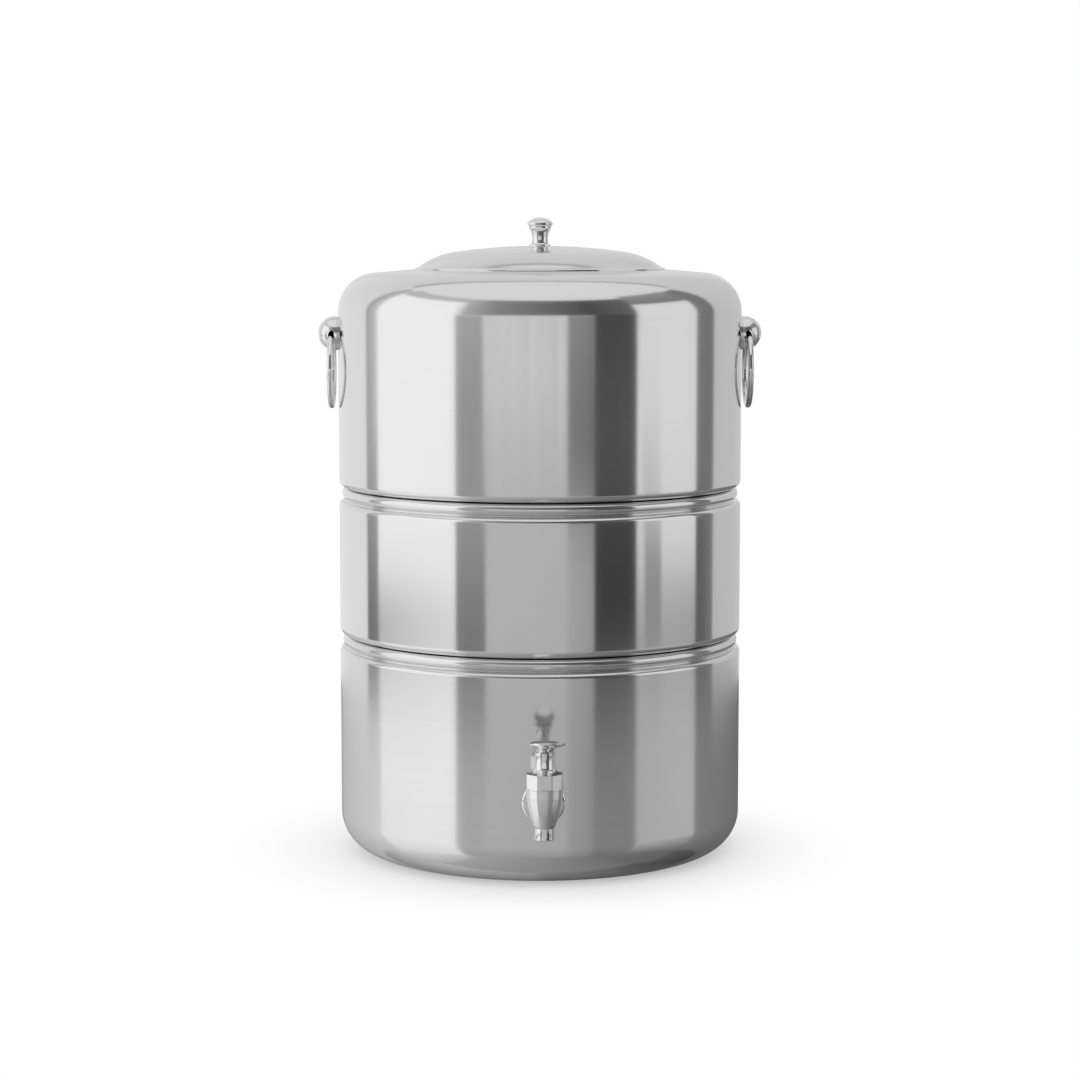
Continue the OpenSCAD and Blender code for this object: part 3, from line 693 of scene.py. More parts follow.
@dataclass
class Shells:
    """The three drawn shells and their slip seams, in millimetres.

    Attributes:
        sheet: Sheet thickness.
        base_flat: Diameter of the flat that the pot stands on.
        roll: Bend radius of a turned-in edge.
        step: Bend radius at the top of a lower wall.
        bead: Radius of the bead round a collar.
        bead_inset: Depth of the bead's crest behind the wall.
        groove: Radius of the groove between the bead and the wall.
        groove_flat: Flat between the step and the groove.
        gap: Opening between a turned-in edge and the bead below it.
        spigot: Height of a collar's spigot.
        spigot_clear: Clearance round a spigot.
        shoulder: Radius of the shoulder.
        slope: Rise of the crown in degrees.
        mouth: Inner diameter of the mouth.
        mouth_bend: Bend radius of the mouth's edge.
        neck: Depth of the neck below its bend.
        hole_clear: Clearance round a stud or the tap's shank.
        hole_steps: Steps round a hole.
        steps: Steps round a shell.
        radius: Outer radius of the shells.
        lower_seam: Height of the lower seam.
        upper_seam: Height of the upper seam.
    """

    sheet: float = 0.8
    base_flat: float = 135
    roll: float = 2.75
    step: float = 2.25
    bead: float = 2.6
    bead_inset: float = 1.2
    groove: float = 0.4
    groove_flat: float = 0.05
    gap: float = 0.4
    spigot: float = 8
    spigot_clear: float = 0.1
    shoulder: float = 16
    slope: float = 5
    mouth: float = 97
    mouth_bend: float = 1.8
    neck: float = 6
    hole_clear: float = 0.2
    hole_steps: int = 48
    steps: int = 248
    radius: float = field(init=False)
    lower_seam: float = field(init=False)
    upper_seam: float = field(init=False)

    def __post_init__(self) -> None:
        """Reads the shells' radius and the heights of their seams from the frame."""
        self.radius = high_corner("middle_shell").x
        self.lower_seam = low_corner("middle_shell").z
        self.upper_seam = low_corner("top_shell").z

    def rolled_edge(self, seam: float) -> Path:
        """Outer line of the edge turned in at the foot of an upper shell."""
        return arc((self.radius - self.roll, seam + self.roll), self.roll, -90, 0)

    def collar(self, seam: float) -> Path:
        """Outer line of the step, groove, bead and spigot at the top of a lower shell.

        Args:
            seam: Height of the seam.

        Returns:
            The line from the wall to the spigot's end.
        """
        spigot_r = self.radius - self.roll - self.spigot_clear
        bead_x = self.radius - self.bead_inset - self.bead
        bead_z = seam - self.gap - math.sqrt(self.bead**2 - (self.radius - self.roll - bead_x) ** 2)
        groove_x = self.radius - self.step - self.groove_flat
        groove_z = bead_z - math.sqrt((self.bead + self.groove) ** 2 - (groove_x - bead_x) ** 2)
        foot_turn = math.degrees(math.atan2(groove_z - bead_z, groove_x - bead_x))
        head_turn = math.degrees(math.acos((spigot_r - bead_x) / self.bead))
        step_z = groove_z - self.groove - self.step
        return [
            *arc((self.radius - self.step, step_z), self.step, 0, 90),
            *arc((groove_x, groove_z), self.groove, 270, foot_turn + 180),
            *arc((bead_x, bead_z), self.bead, foot_turn, head_turn),
            (spigot_r, seam + self.spigot),
        ]

    def base_line(self) -> Path:
        """Outer line of the lowest shell."""
        bend = self.radius - self.base_flat / 2
        return [(0, 0), *arc((self.radius - bend, bend), bend, -90, 0), *self.collar(self.lower_seam)]

    def middle_line(self) -> Path:
        """Outer line of the middle shell."""
        return [*self.rolled_edge(self.lower_seam), *self.collar(self.upper_seam)]

    def top_line(self) -> Path:
        """Draws the outer line of the top shell.

        Returns:
            The line from the seam to the end of the neck.
        """
        slope = math.radians(self.slope)
        mouth_x = self.mouth / 2 + self.mouth_bend
        crest_z = high_corner("top_shell").z
        mouth_z = crest_z - self.mouth_bend
        touch_x = mouth_x + self.mouth_bend * math.sin(slope)
        touch_z = mouth_z + self.mouth_bend * math.cos(slope)
        bend_x = self.radius - self.shoulder
        bend_end = bend_x + self.shoulder * math.sin(slope)
        bend_z = touch_z - (bend_end - touch_x) * math.tan(slope) - self.shoulder * math.cos(slope)
        return [
            *self.rolled_edge(self.upper_seam),
            *arc((bend_x, bend_z), self.shoulder, 0, 90 - self.slope),
            *arc((mouth_x, mouth_z), self.mouth_bend, 90 - self.slope, 180),
            (self.mouth / 2, mouth_z - self.neck),
        ]

    def hole(self, node: str, through: float, turn: float) -> Piece:
        """A cutter for a round hole in the wall.

        Args:
            node: Node whose axis the hole shares.
            through: Diameter of what goes through the hole.
            turn: Direction of the hole round the pot in degrees.

        Returns:
            The cutter.
        """
        across = through + 2 * self.hole_clear
        place = outward(middle_height(node), turn)
        return rod(across, self.radius - across, self.radius + across, place, self.hole_steps)

    def build(self, stud: float, shank: float) -> None:
        """Builds and dresses the three shells.

        Args:
            stud: Diameter of a lug's stud.
            shank: Diameter of the tap's shank.
        """
        tap_hole = self.hole("tap_washer", shank, FRONT)
        lug_holes = [self.hole("right_lug_nut", stud, side.value) for side in reversed(Side)]
        shells = {
            "base_shell": (self.base_line(), BASE_STEEL, [tap_hole]),
            "middle_shell": (self.middle_line(), WALL_STEEL, []),
            "top_shell": (self.top_line(), TOP_STEEL, lug_holes),
        }
        seams = (self.lower_seam * MM, self.upper_seam * MM)
        for node, (line, finish, holes) in shells.items():
            piece = turned(f"smooth_{node}", sheet_outline(line, self.sheet), self.steps)
            shaped(piece, Cut.TAKE, *holes)
            # The finish paints shade into the crevice above each seam.
            placed(piece, node, Body.ROOT, finish, seams=seams)


@dataclass
class Lid:
    """The domed lid with its skirt, in millimetres.

    Attributes:
        sheet: Sheet thickness.
        brim: Width of the brim's bevelled top.
        brim_slope: Slope of the brim's bevelled top in degrees.
        brim_edge: Thickness of the brim at its edge.
        brim_lip: Height of the burr that the brim's edge turns down.
        dome: Radius of the crown.
        dome_turn: Slope where the crown turns into the edge, in degrees.
        edge_slope: Slope at the foot of the edge, in degrees.
        fillet: Radius between the edge and the brim.
        seat: Diameter of the knob's flat seat.
        skirt_gap: Gap between the skirt's lip and the dome.
        skirt_lip: Width of the skirt's lip in degrees.
        skirt_bend: Bend radius at the top of the skirt.
        screw_hole: Diameter of the hole for the knob's screw.
        steps: Steps round the lid.
        top: Height of the knob's seat.
        edge_c: Centre of the edge's arc.
        edge_r: Radius of the edge's arc.
    """

    sheet: float = 0.5
    brim: float = 1.2
    brim_slope: float = 20
    brim_edge: float = 0.15
    brim_lip: float = 0.13
    dome: float = 245
    dome_turn: float = 8.3
    edge_slope: float = 36.5
    fillet: float = 2.5
    seat: float = 9.2
    skirt_gap: float = 0.15
    skirt_lip: float = 5
    skirt_bend: float = 1.5
    screw_hole: float = 3.6
    steps: int = 256
    top: float = field(init=False)
    edge_c: Point = field(init=False)
    edge_r: float = field(init=False)

    def __post_init__(self) -> None:
        """Works out the lid's arcs from its brim and its top in the frame."""
        self.top = high_corner("lid_shell").z
        turn, foot = math.radians(self.dome_turn), math.radians(self.edge_slope)
        brim_foot = high_corner("lid_shell").x - self.brim
        edge_x = brim_foot - self.fillet * (math.sin(foot) - math.sin(math.radians(self.brim_slope)))
        self.edge_r = (edge_x - self.dome * math.sin(turn)) / (math.sin(foot) - math.sin(turn))
        drop = self.dome_drop() - (self.dome - self.edge_r) * math.cos(turn)
        self.edge_c = ((self.dome - self.edge_r) * math.sin(turn), self.top - drop)

    def dome_drop(self) -> float:
        """Depth of the crown's centre below the knob's seat."""
        return math.sqrt(self.dome**2 - (self.seat / 2) ** 2)

    def shell_outline(self) -> Path:
        """Draws the lid's sheet.

        Returns:
            The closed outline, from the knob's seat to the brim's thin edge and back.
        """
        seat_turn = math.degrees(math.asin(self.seat / 2 / self.dome))
        foot = math.radians(self.edge_slope)
        reach = self.edge_r + self.fillet
        fillet_c = (self.edge_c[0] + reach * math.sin(foot), self.edge_c[1] + reach * math.cos(foot))
        line = cleaned([
            (self.screw_hole / 2, self.top),
            *arc((0, self.top - self.dome_drop()), self.dome, 90 - seat_turn, 90 - self.dome_turn),
            *arc(self.edge_c, self.edge_r, 90 - self.dome_turn, 90 - self.edge_slope),
            *arc(fillet_c, self.fillet, 270 - self.edge_slope, 270 - self.brim_slope),
        ])
        brim_x, brim_z = high_corner("lid_shell").x, low_corner("lid_shell").z
        edge = [(brim_x, brim_z + self.brim_edge), (brim_x, brim_z - self.brim_lip)]
        return [*line, *edge, *beside(line, -self.sheet)[::-1]]

    def skirt_outline(self) -> Path:
        """Draws the skirt's sheet.

        Returns:
            The closed outline, from the lip to the lower edge and back.
        """
        radius = high_corner("lid_skirt").x
        path_r = self.edge_r - self.sheet - self.skirt_gap
        inner = path_r - self.skirt_bend
        turn = math.degrees(math.asin((radius - self.skirt_bend - self.edge_c[0]) / inner))
        leg = math.radians(turn)
        bend_c = (self.edge_c[0] + inner * math.sin(leg), self.edge_c[1] + inner * math.cos(leg))
        line = [
            *arc(self.edge_c, path_r, 90 - turn + self.skirt_lip, 90 - turn),
            *arc(bend_c, self.skirt_bend, 90 - turn, 0),
            (radius, low_corner("lid_skirt").z),
        ]
        return sheet_outline(line, -self.sheet)

    def build(self) -> None:
        """Builds and dresses the lid's sheet parts."""
        for node, outline in {"lid_shell": self.shell_outline(), "lid_skirt": self.skirt_outline()}.items():
            piece = turned(f"smooth_{node}", outline[::-1], self.steps)
            placed(piece, node, Body.LID, LID_STEEL)


@dataclass
class Knob:
    """The lid's turned knob, in millimetres.

    Attributes:
        waist: Diameter of the waist.
        foot: Diameter of the foot.
        foot_h: Thickness of the foot's edge.
        waist_up: Height of the waist above the lid.
        cap_h: Height of the cap above its widest line.
        edge: Radius of the cap's rounded edge.
        ring_t: Thickness of the ring under the cap.
        ring_in: Depth of the ring behind the cap's edge.
        groove: Depth of the groove over the ring.
        groove_drop: Distance of the groove below the cap's widest line.
        flare: Height of the flare under the ring.
        crown: Share of the cap's radius where its edge and its crown would meet.
        under_turn: Turn of the cap's edge below its widest line, in degrees.
        over_turn: Turn of the cap's edge above its widest line, in degrees.
        screw: Diameter of the screw's bore.
        screw_depth: Depth of the screw's bore.
        steps: Steps round the knob.
    """

    waist: float = 6.7
    foot: float = 9.2
    foot_h: float = 0.3
    waist_up: float = 2.6
    cap_h: float = 2.65
    edge: float = 1.2
    ring_t: float = 0.35
    ring_in: float = 0.55
    groove: float = 0.25
    groove_drop: float = 1.15
    flare: float = 1.5
    crown: float = 0.55
    under_turn: float = 30
    over_turn: float = 50
    screw: float = 3.24
    screw_depth: float = 6
    steps: int = 96

    def outline(self) -> Path:
        """Draws half the knob.

        Returns:
            The closed outline round the screw's bore.
        """
        low, high = node_box("lid_knob")
        cap_r, waist_r, bore = high.x, self.waist / 2, self.screw / 2
        cap_z = high.z - self.cap_h
        foot, waist = (self.foot / 2, low.z + self.foot_h), (waist_r, low.z + self.waist_up)
        ring_r = cap_r - self.ring_in
        groove_z = cap_z - self.groove_drop
        ring_z = groove_z - self.groove
        flare = (ring_r - self.groove, ring_z - self.ring_t - self.groove)
        edge = arc((cap_r - self.edge, cap_z), self.edge, -self.under_turn, self.over_turn)
        return [
            (bore, low.z),
            (self.foot / 2, low.z),
            *pulled(foot, (waist_r, foot[1]), waist),
            *pulled(waist, (waist_r, flare[1] - self.flare), flare),
            (ring_r, ring_z - self.ring_t),
            (ring_r, ring_z),
            (ring_r - self.groove, groove_z),
            *edge,
            *pulled(edge[-1], (self.crown * cap_r, high.z), (0, high.z)),
            (0, low.z + self.screw_depth),
            (bore, low.z + self.screw_depth),
        ]

    def build(self) -> None:
        """Builds and dresses the knob."""
        placed(turned("turned_knob", self.outline(), self.steps), "lid_knob", Body.LID, BRIGHT_METAL)


@dataclass
class RingHandle:
    """A ball lug on the wall with its wire ring, in millimetres.

    Attributes:
        side: Side of the pot.
        wall: Outer radius of the pot.
        ball: Diameter of the ball.
        ball_out: Distance of the ball's centre outside the wall.
        stud: Diameter of the stud.
        wall_clear: Gap between the ball and the wall.
        bore_shade_margin: Reach of the painted shade past the edge of the ring's hole.
        wire_clear: Clearance round the ring's wire in its hole.
        over: Length of a solid past the face that it crosses.
        steps: Steps round the ball.
        wall_steps: Steps round the wall that the ball is fitted to.
        stud_steps: Steps round the stud.
        hole_steps: Steps round the ring's hole.
        ring_steps: Steps along the ring.
    """

    side: Side
    wall: float
    ball: float = 14.1
    ball_out: float = 1.45
    stud: float = 4.8
    wall_clear: float = 0.02
    bore_shade_margin: float = 0.02
    wire_clear: float = 0.2
    over: float = 1
    steps: int = 128
    wall_steps: int = 512
    stud_steps: int = 48
    hole_steps: int = 64
    ring_steps: int = 160

    def node(self, kind: str) -> str:
        """Name of this side's node of a kind."""
        return f"{self.side.name.lower()}_{kind}"

    def lug_outline(self) -> Path:
        """Draws half the ball along the stud's axis.

        Returns:
            The closed outline, from inside the wall.
        """
        radius = self.ball / 2
        start = math.degrees(math.asin(-(self.ball_out + self.over) / radius))
        return [(0, self.wall - self.over), *arc((0, self.wall + self.ball_out), radius, start, 90)]

    def ring_hole(self) -> tuple[float, float, float]:
        """Works out the hole that the ring hangs in.

        Returns:
            Its X, its height and its radius.
        """
        lo, hi = node_box(self.node("ring"))
        wire = hi.x - lo.x
        mean = (hi.z - lo.z - wire) / 2
        ring_x = (hi.x + lo.x) / 2
        half = math.sqrt((self.ball / 2) ** 2 - (abs(ring_x) - self.wall - self.ball_out) ** 2)
        sag = mean - math.sqrt(mean**2 - half**2)
        return ring_x, hi.z - wire / 2 - sag / 2, (sag + wire) / 2 + self.wire_clear

    def build_lug(self) -> None:
        """Builds and dresses the lug."""
        node = self.node("lug")
        height = middle_height(node)
        out = outward(height, self.side.value)
        lug = turned(f"ball_{node}", self.lug_outline(), self.steps, out)
        wall_r = self.wall + self.wall_clear
        shaped(lug, Cut.TAKE, rod(2 * wall_r, -self.ball, self.ball, moved(0, 0, height), self.wall_steps))
        inner = min(abs(corner.x) for corner in node_box(node))
        shaped(lug, Cut.ADD, rod(self.stud, inner, self.wall + self.over, out, self.stud_steps))
        hole_x, hole_z, hole_r = self.ring_hole()
        across = moved(hole_x, 0, hole_z) @ spun(90, "X")
        shaped(lug, Cut.TAKE, rod(2 * hole_r, -self.ball, self.ball, across, self.hole_steps))
        # The ring's hole gets painted shade in the lug's finish.
        bore = (Vector((hole_x, 0, hole_z)) * MM, (hole_r + self.bore_shade_margin) * MM)
        placed(lug, node, Body.ROOT, BALL_BRIGHT, bore=bore)

    def build_ring(self) -> None:
        """Builds and dresses the ring, whose body has its node's name."""
        node = self.node("ring")
        lo, hi = node_box(node)
        wire = (hi.x - lo.x) / 2
        mean = (hi.z - lo.z) / 2 - wire
        place = Matrix.Translation((lo + hi) / 2 * MM) @ spun(90, "Y")
        ring = turned(f"wire_{node}", arc((mean, 0), wire, 0, 360)[:-1], self.ring_steps, place)
        placed(ring, node, Body(node), CAST_BRIGHT)

    def build(self) -> None:
        """Builds the lug and its ring."""
        self.build_lug()
        self.build_ring()


@dataclass
class Tap:
    """The tap's body, bonnet, lever and spring, in millimetres.

    Attributes:
        wall: Outer radius of the pot.
        reach: Distance of the upright axis outside the wall.
        spout: Diameter of the spout's mouth.
        spout_waist: Diameter of the spout's waist.
        waist_up: Height of the waist above the mouth.
        lip: Radius of the spout's lip.
        flare: Height of the flare above the lip.
        step: Step from the waist to the barrel.
        spout_bore: Bore of the spout.
        barrel: Diameter of the barrel at its top.
        band: Height of the straight band at the barrel's top.
        band_out: Stand-out of the band from the barrel under it.
        draw: Draw-in of the barrel's curve at the inlet's height.
        chamber: Diameter of the valve chamber.
        seat_drop: Distance of the valve seat below the inlet's axis.
        flange: Diameter of the wall flange.
        flange_t: Thickness of the wall flange.
        flange_flat: Width of the flange's flat round the pipe.
        pipe: Diameter of the inlet pipe.
        shank: Diameter of the shank.
        inlet_bore: Bore of the inlet.
        gasket: Thickness of the outer gasket.
        bonnet: Diameter of the bonnet's collar.
        bonnet_h: Height of the bonnet's collar.
        bonnet_spigot: Length of the bonnet's spigot.
        cove_h: Height of the cove on top of the collar.
        cove: Distance of the cove's corner from the neck and the collar.
        ridge: Height of the ridge at the collar's foot.
        ridge_out: Stand-out of the ridge.
        cove_set: Set-in of the cove's foot from the collar's side.
        neck_round: Rounding at the neck's top.
        flats: Flats round the collar.
        flat_round: Rounding between the flats.
        flat_sink: Depth of the flats' foot in the ridge.
        neck: Diameter of the bonnet's neck.
        spring_bore: Diameter of the spring's chamber.
        spring_wire: Diameter of the spring's wire.
        spring_turns: Turns of the spring.
        spring_steps: Steps in a turn of the spring.
        spring_sides: Sides of the spring's wire.
        spring_edge: Angle from which an edge of the spring stays sharp, in degrees.
        guide: Length of the bore that guides the stem.
        stem: Diameter of the stem.
        run_clear: Running clearance.
        heel: Diameter of the lever's heel.
        heel_pull: Offset of the point that pulls the curve from the heel to the hub.
        hub: Diameter of the lever's hub.
        hub_rim: Thickness of the hub's rim.
        hub_bevel: Rounding at the hub's top.
        hub_h: Height of the hub.
        slot_room: Room beyond the stem in the lever's slot.
        head_clear: Clearance over the stem's round head in the slot.
        tongue: Thickness of the stem's tongue.
        pin: Diameter of the lever's pin hole.
        pin_up: Height of the pin above the heel.
        paddle_reach: Reach of the paddle from the axis.
        paddle: Width of the paddle.
        paddle_root: Width of the paddle at the hub.
        paddle_cheek: Share of the tip's radius where the root ends.
        paddle_t: Depth of the paddle's belly below its rim's top.
        paddle_rim: Thickness of the paddle's rim.
        paddle_edge: Rounding of the paddle's rim.
        dish: Depth of the dish.
        dish_turn: Turn of the dish's cutter from its lowest point to past its rim, in degrees.
        dish_rim: Width of the rim round the dish.
        root_drop: Depth of the root's top below the rim's top.
        paddle_tilt: Upward tilt of the paddle in degrees.
        turn: Turn of the lever about the upright axis in degrees.
        over: Length of a solid past the face that it crosses.
        steps: Steps round the tap's pieces.
        inlet: Height of the inlet's axis.
    """

    wall: float
    reach: float = 20
    spout: float = 8.1
    spout_waist: float = 7.6
    waist_up: float = 4.7
    lip: float = 0.4
    flare: float = 2.4
    step: float = 0.4
    spout_bore: float = 4.6
    barrel: float = 14.2
    band: float = 3.2
    band_out: float = 0.15
    draw: float = 0.5
    chamber: float = 9.2
    seat_drop: float = 4.5
    flange: float = 17.3
    flange_t: float = 2.2
    flange_flat: float = 1
    pipe: float = 10.4
    shank: float = 10
    inlet_bore: float = 5.6
    gasket: float = 1.6
    bonnet: float = 14.6
    bonnet_h: float = 6.3
    bonnet_spigot: float = 3
    cove_h: float = 2.4
    cove: float = 0.5
    ridge: float = 0.8
    ridge_out: float = 0.2
    cove_set: float = 0.3
    neck_round: float = 0.15
    flats: int = 8
    flat_round: float = 1.4
    flat_sink: float = 0.04
    neck: float = 7.4
    spring_bore: float = 5.6
    spring_wire: float = 0.6
    spring_turns: int = 9
    spring_steps: int = 20
    spring_sides: int = 10
    spring_edge: float = 60
    guide: float = 4.5
    stem: float = 2.6
    run_clear: float = 0.1
    heel: float = 6.4
    heel_pull: float = 1
    hub: float = 11.8
    hub_rim: float = 0.4
    hub_bevel: float = 0.3
    hub_h: float = 3.5
    slot_room: float = 1.35
    head_clear: float = 0.16
    tongue: float = 1.8
    pin: float = 1.24
    pin_up: float = 1.5
    paddle_reach: float = 18
    paddle: float = 14.4
    paddle_root: float = 7.8
    paddle_cheek: float = 0.6
    paddle_t: float = 2.2
    paddle_rim: float = 0.7
    paddle_edge: float = 0.2
    dish: float = 1.1
    dish_turn: float = 30
    dish_rim: float = 0.5
    root_drop: float = 0.02
    paddle_tilt: float = 11
    turn: float = 5.5
    over: float = 1
    steps: int = 96
    inlet: float = field(init=False)

    def __post_init__(self) -> None:
        """Reads the inlet's height from the frame."""
        self.inlet = middle_height("tap_lock_nut")

    def upright(self) -> Matrix:
        """Moves a piece from the Z axis to the tap's upright axis."""
        return moved(0, -(self.wall + self.reach), 0)

    def along_inlet(self) -> Matrix:
        """Turns a piece from the Z axis to the inlet's axis, pointing into the pot."""
        return moved(0, 0, self.inlet) @ spun(-90, "X")

    def bright(self, piece: Piece, node: str, body: Body) -> None:
        """Finishes a bright piece that is turned about the upright axis."""
        placed(piece, node, body, BRIGHT_METAL, axis=self.upright().to_translation())

    def barrel_top(self) -> float:
        """Height where the bonnet's collar stands on the barrel."""
        return low_corner("tap_bonnet").z + self.bonnet_spigot

    def barrel_outline(self) -> Path:
        """Draws half the barrel with its flared spout.

        Returns:
            The closed outline.
        """
        low = low_corner("tap_body").z
        top = self.barrel_top()
        waist_r, waist_z = self.spout_waist / 2, low + self.waist_up
        lip = (self.spout / 2, low + self.lip)
        rise = (waist_r + self.step, waist_z + self.step)
        band = (self.barrel / 2, top - self.band)
        under_band = (band[0] - self.band_out, band[1] - self.band_out)
        return [
            (0, low),
            *arc((lip[0] - self.lip, lip[1]), self.lip, -90, 0),
            *pulled(lip, (waist_r, lip[1] + self.flare), (waist_r, waist_z)),
            *pulled(rise, (band[0] - self.draw, self.inlet), under_band),
            band,
            (band[0], top),
            (0, top),
        ]

    def flange_outline(self) -> Path:
        """Draws half the wall flange along the inlet's axis.

        Returns:
            The closed outline.
        """
        back = -(self.wall + self.gasket)
        front, edge = back - self.flange_t, back - self.flange_t / 2
        radius = self.flange / 2
        return [
            (0, back),
            (0, front),
            *pulled((self.pipe / 2 + self.flange_flat, front), (radius, front), (radius, edge)),
            (radius, back),
        ]

    def build_body(self) -> None:
        """Builds and dresses the tap's body."""
        axis_y = -(self.wall + self.reach)
        flange_y = -(self.wall + self.gasket) - self.flange_t / 2
        end_y = high_corner("tap_body").y
        low = low_corner("tap_body").z
        seat = self.inlet - self.seat_drop
        upright, inlet, steps = self.upright(), self.along_inlet(), self.steps
        body = turned("bright_tap_body", self.barrel_outline(), steps, upright)
        pipe = rod(self.pipe, axis_y, flange_y, inlet, steps)
        flange = turned("flange", self.flange_outline(), steps, inlet)
        shank = rod(self.shank, flange_y, end_y, inlet, steps)
        shaped(body, Cut.ADD, pipe, flange, shank)
        spout = rod(self.spout_bore, low - self.over, seat + self.over, upright, steps)
        chamber = rod(self.chamber, seat, self.barrel_top() + self.over, upright, steps)
        bore = rod(self.inlet_bore, axis_y, end_y + self.over, inlet, steps)
        shaped(body, Cut.TAKE, spout, chamber, bore)
        self.bright(body, "tap_body", Body.ROOT)

    def collar_cutter(self) -> Piece:
        """Builds the ring that cuts the collar's flats.

        Returns:
            The cutter, with one flat towards the front.
        """
        low = self.barrel_top() + self.ridge - self.flat_sink
        high = high_corner("tap_bonnet").z + self.over
        turn = 360 / self.flats
        out = self.bonnet / 2 + self.ridge_out - self.flat_round
        nut = []
        for i in range(self.flats):
            middle = math.radians(turn * (i + 0.5))
            centre = (out * math.cos(middle), out * math.sin(middle))
            nut += arc(centre, self.flat_round, turn * i, turn * (i + 1))
        ring = block(oblong(self.bonnet, self.bonnet), low, high, self.upright())
        hole = block(held([*nut, nut[0]])[:-1], low - self.over, high + self.over, self.upright())
        return shaped(ring, Cut.TAKE, hole)

    def build_bonnet(self) -> None:
        """Builds and dresses the bonnet, with flats cut from a round blank."""
        low, high = low_corner("tap_bonnet").z, high_corner("tap_bonnet").z
        foot = self.barrel_top()
        top = foot + self.bonnet_h
        collar, neck = self.bonnet / 2, self.neck / 2
        blank = collar + 2 * self.ridge_out
        spigot = self.chamber / 2 - self.run_clear
        spring, bore = self.spring_bore / 2, self.stem / 2 + self.run_clear
        roof = high - self.guide
        cove_foot, cove_top = (collar - self.cove_set, top), (neck, top + self.cove_h)
        outline = [
            (spring, low),
            (spigot, low),
            (spigot, foot),
            (collar, foot),
            *arc((collar, foot + self.ridge / 2), self.ridge_out, -90, 90),
            (collar, foot + self.ridge),
            (blank, foot + self.ridge),
            (blank, top),
            *pulled(cove_foot, (neck + self.cove, top + self.cove), cove_top),
            *arc((neck - self.neck_round, high - self.neck_round), self.neck_round, 0, 90),
            (bore, high),
            (bore, roof),
            (spring, roof),
        ]
        bonnet = turned("bright_tap_bonnet", outline, self.steps, self.upright())
        shaped(bonnet, Cut.TAKE, self.collar_cutter())
        self.bright(bonnet, "tap_bonnet", Body.ROOT)

    def paddle_solid(self, place: Matrix) -> Piece:
        """The dished paddle: a round bowl at the tip and a flat root.

        Args:
            place: Place of the paddle's root, with the rim's top at zero height.

        Returns:
            The paddle.
        """
        tip, edge = self.paddle / 2, self.paddle_edge
        tip_y = tip - self.paddle_reach
        at_tip = place @ moved(0, tip_y, 0)
        belly = ball_radius(tip, self.paddle_t - self.paddle_rim)
        belly_turn = math.degrees(math.asin((tip - edge) / belly))
        bowl = [
            *arc((0, belly - self.paddle_t), belly, -90, -90 + belly_turn),
            *arc((tip - edge, -edge), edge, 0, 90),
            (0, 0),
        ]
        paddle = turned("paddle", bowl, self.steps, at_tip)
        root, cheek = self.paddle_root / 2, self.paddle_cheek * tip
        corners = [(-root, 0), (-cheek, tip_y), (cheek, tip_y), (root, 0)]
        root_foot = -(self.paddle_t + self.paddle_rim) / 2
        shaped(paddle, Cut.ADD, block(corners, root_foot, -self.root_drop, place))
        dish = ball_radius(tip - self.dish_rim, self.dish)
        centre = (0, dish - self.dish)
        cutter = [(0, -self.dish), *arc(centre, dish, -90, -90 + self.dish_turn), centre]
        return shaped(paddle, Cut.TAKE, turned("dish", cutter, self.steps, at_tip))

    def build_lever(self) -> None:
        """Builds and dresses the lever."""
        foot = low_corner("tap_lever").z
        top = foot + self.hub_h
        rim = top - self.hub_bevel - self.hub_rim
        heel, hub = self.heel / 2, self.hub / 2
        outline = [
            (0, foot),
            (heel, foot),
            *pulled((heel, foot), (heel + self.heel_pull, rim - self.heel_pull), (hub, rim)),
            *arc((hub - self.hub_bevel, top - self.hub_bevel), self.hub_bevel, 0, 90),
            (0, top),
        ]
        place = self.upright() @ spun(self.turn, "Z")
        lever = turned("bright_tap_lever", outline, self.steps, place)
        root = place @ moved(0, 0, top - self.hub_bevel) @ spun(-self.paddle_tilt, "X")
        shaped(lever, Cut.ADD, self.paddle_solid(root))
        pin_z = foot + self.pin_up
        across = place @ moved(0, 0, pin_z) @ spun(90, "Y")
        slot_w = self.tongue / 2 + self.run_clear
        slot_l = self.stem / 2 + self.slot_room
        slot = block(oblong(slot_w, slot_l), foot - self.over, pin_z, place)
        head = rod(self.stem + 2 * self.head_clear, -slot_w, slot_w, across, self.steps)
        pin = rod(self.pin, -self.hub, self.hub, across, self.steps)
        shaped(lever, Cut.TAKE, slot, head, pin)
        self.bright(lever, "tap_lever", Body.LEVER)

    def spring_points(self) -> list[Vector]:
        """Winds the spring about the Z axis.

        Returns:
            Points round its wire, ring by ring from its foot.
        """
        lo, hi = node_box("valve_spring")
        wire = self.spring_wire / 2
        mean = (self.spring_bore + self.stem) / 4
        rise = hi.z - lo.z - 2 * wire
        pitch = rise / (2 * math.pi * mean * self.spring_turns)
        rings = self.spring_steps * self.spring_turns
        points = []
        for i in range(rings + 1):
            turn = 2 * math.pi * i / self.spring_steps
            out = Vector((math.cos(turn), math.sin(turn), 0))
            up = out.cross(Vector((-math.sin(turn), math.cos(turn), pitch)).normalized())
            centre = out * mean + Vector((0, 0, lo.z + wire + rise * i / rings))
            for k in range(self.spring_sides):
                side = 2 * math.pi * k / self.spring_sides
                points.append((centre + wire * (math.cos(side) * out + math.sin(side) * up)) * MM)
        return points

    def build_spring(self) -> None:
        """Builds and dresses the spring; on the real tap it shortens as the stem rises."""
        points, sides = self.spring_points(), self.spring_sides
        last = len(points) - sides
        faces = [list(range(sides)), list(range(last, last + sides))[::-1]]
        for start in range(0, last, sides):
            for k in range(sides):
                a, b = start + k, start + (k + 1) % sides
                faces.append([a, a + sides, b + sides, b])
        spring = new_piece("coiled_valve_spring", points, faces, self.upright())
        placed(spring, "valve_spring", Body.ROOT, HARDWARE, edge=self.spring_edge)
        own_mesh(spring)

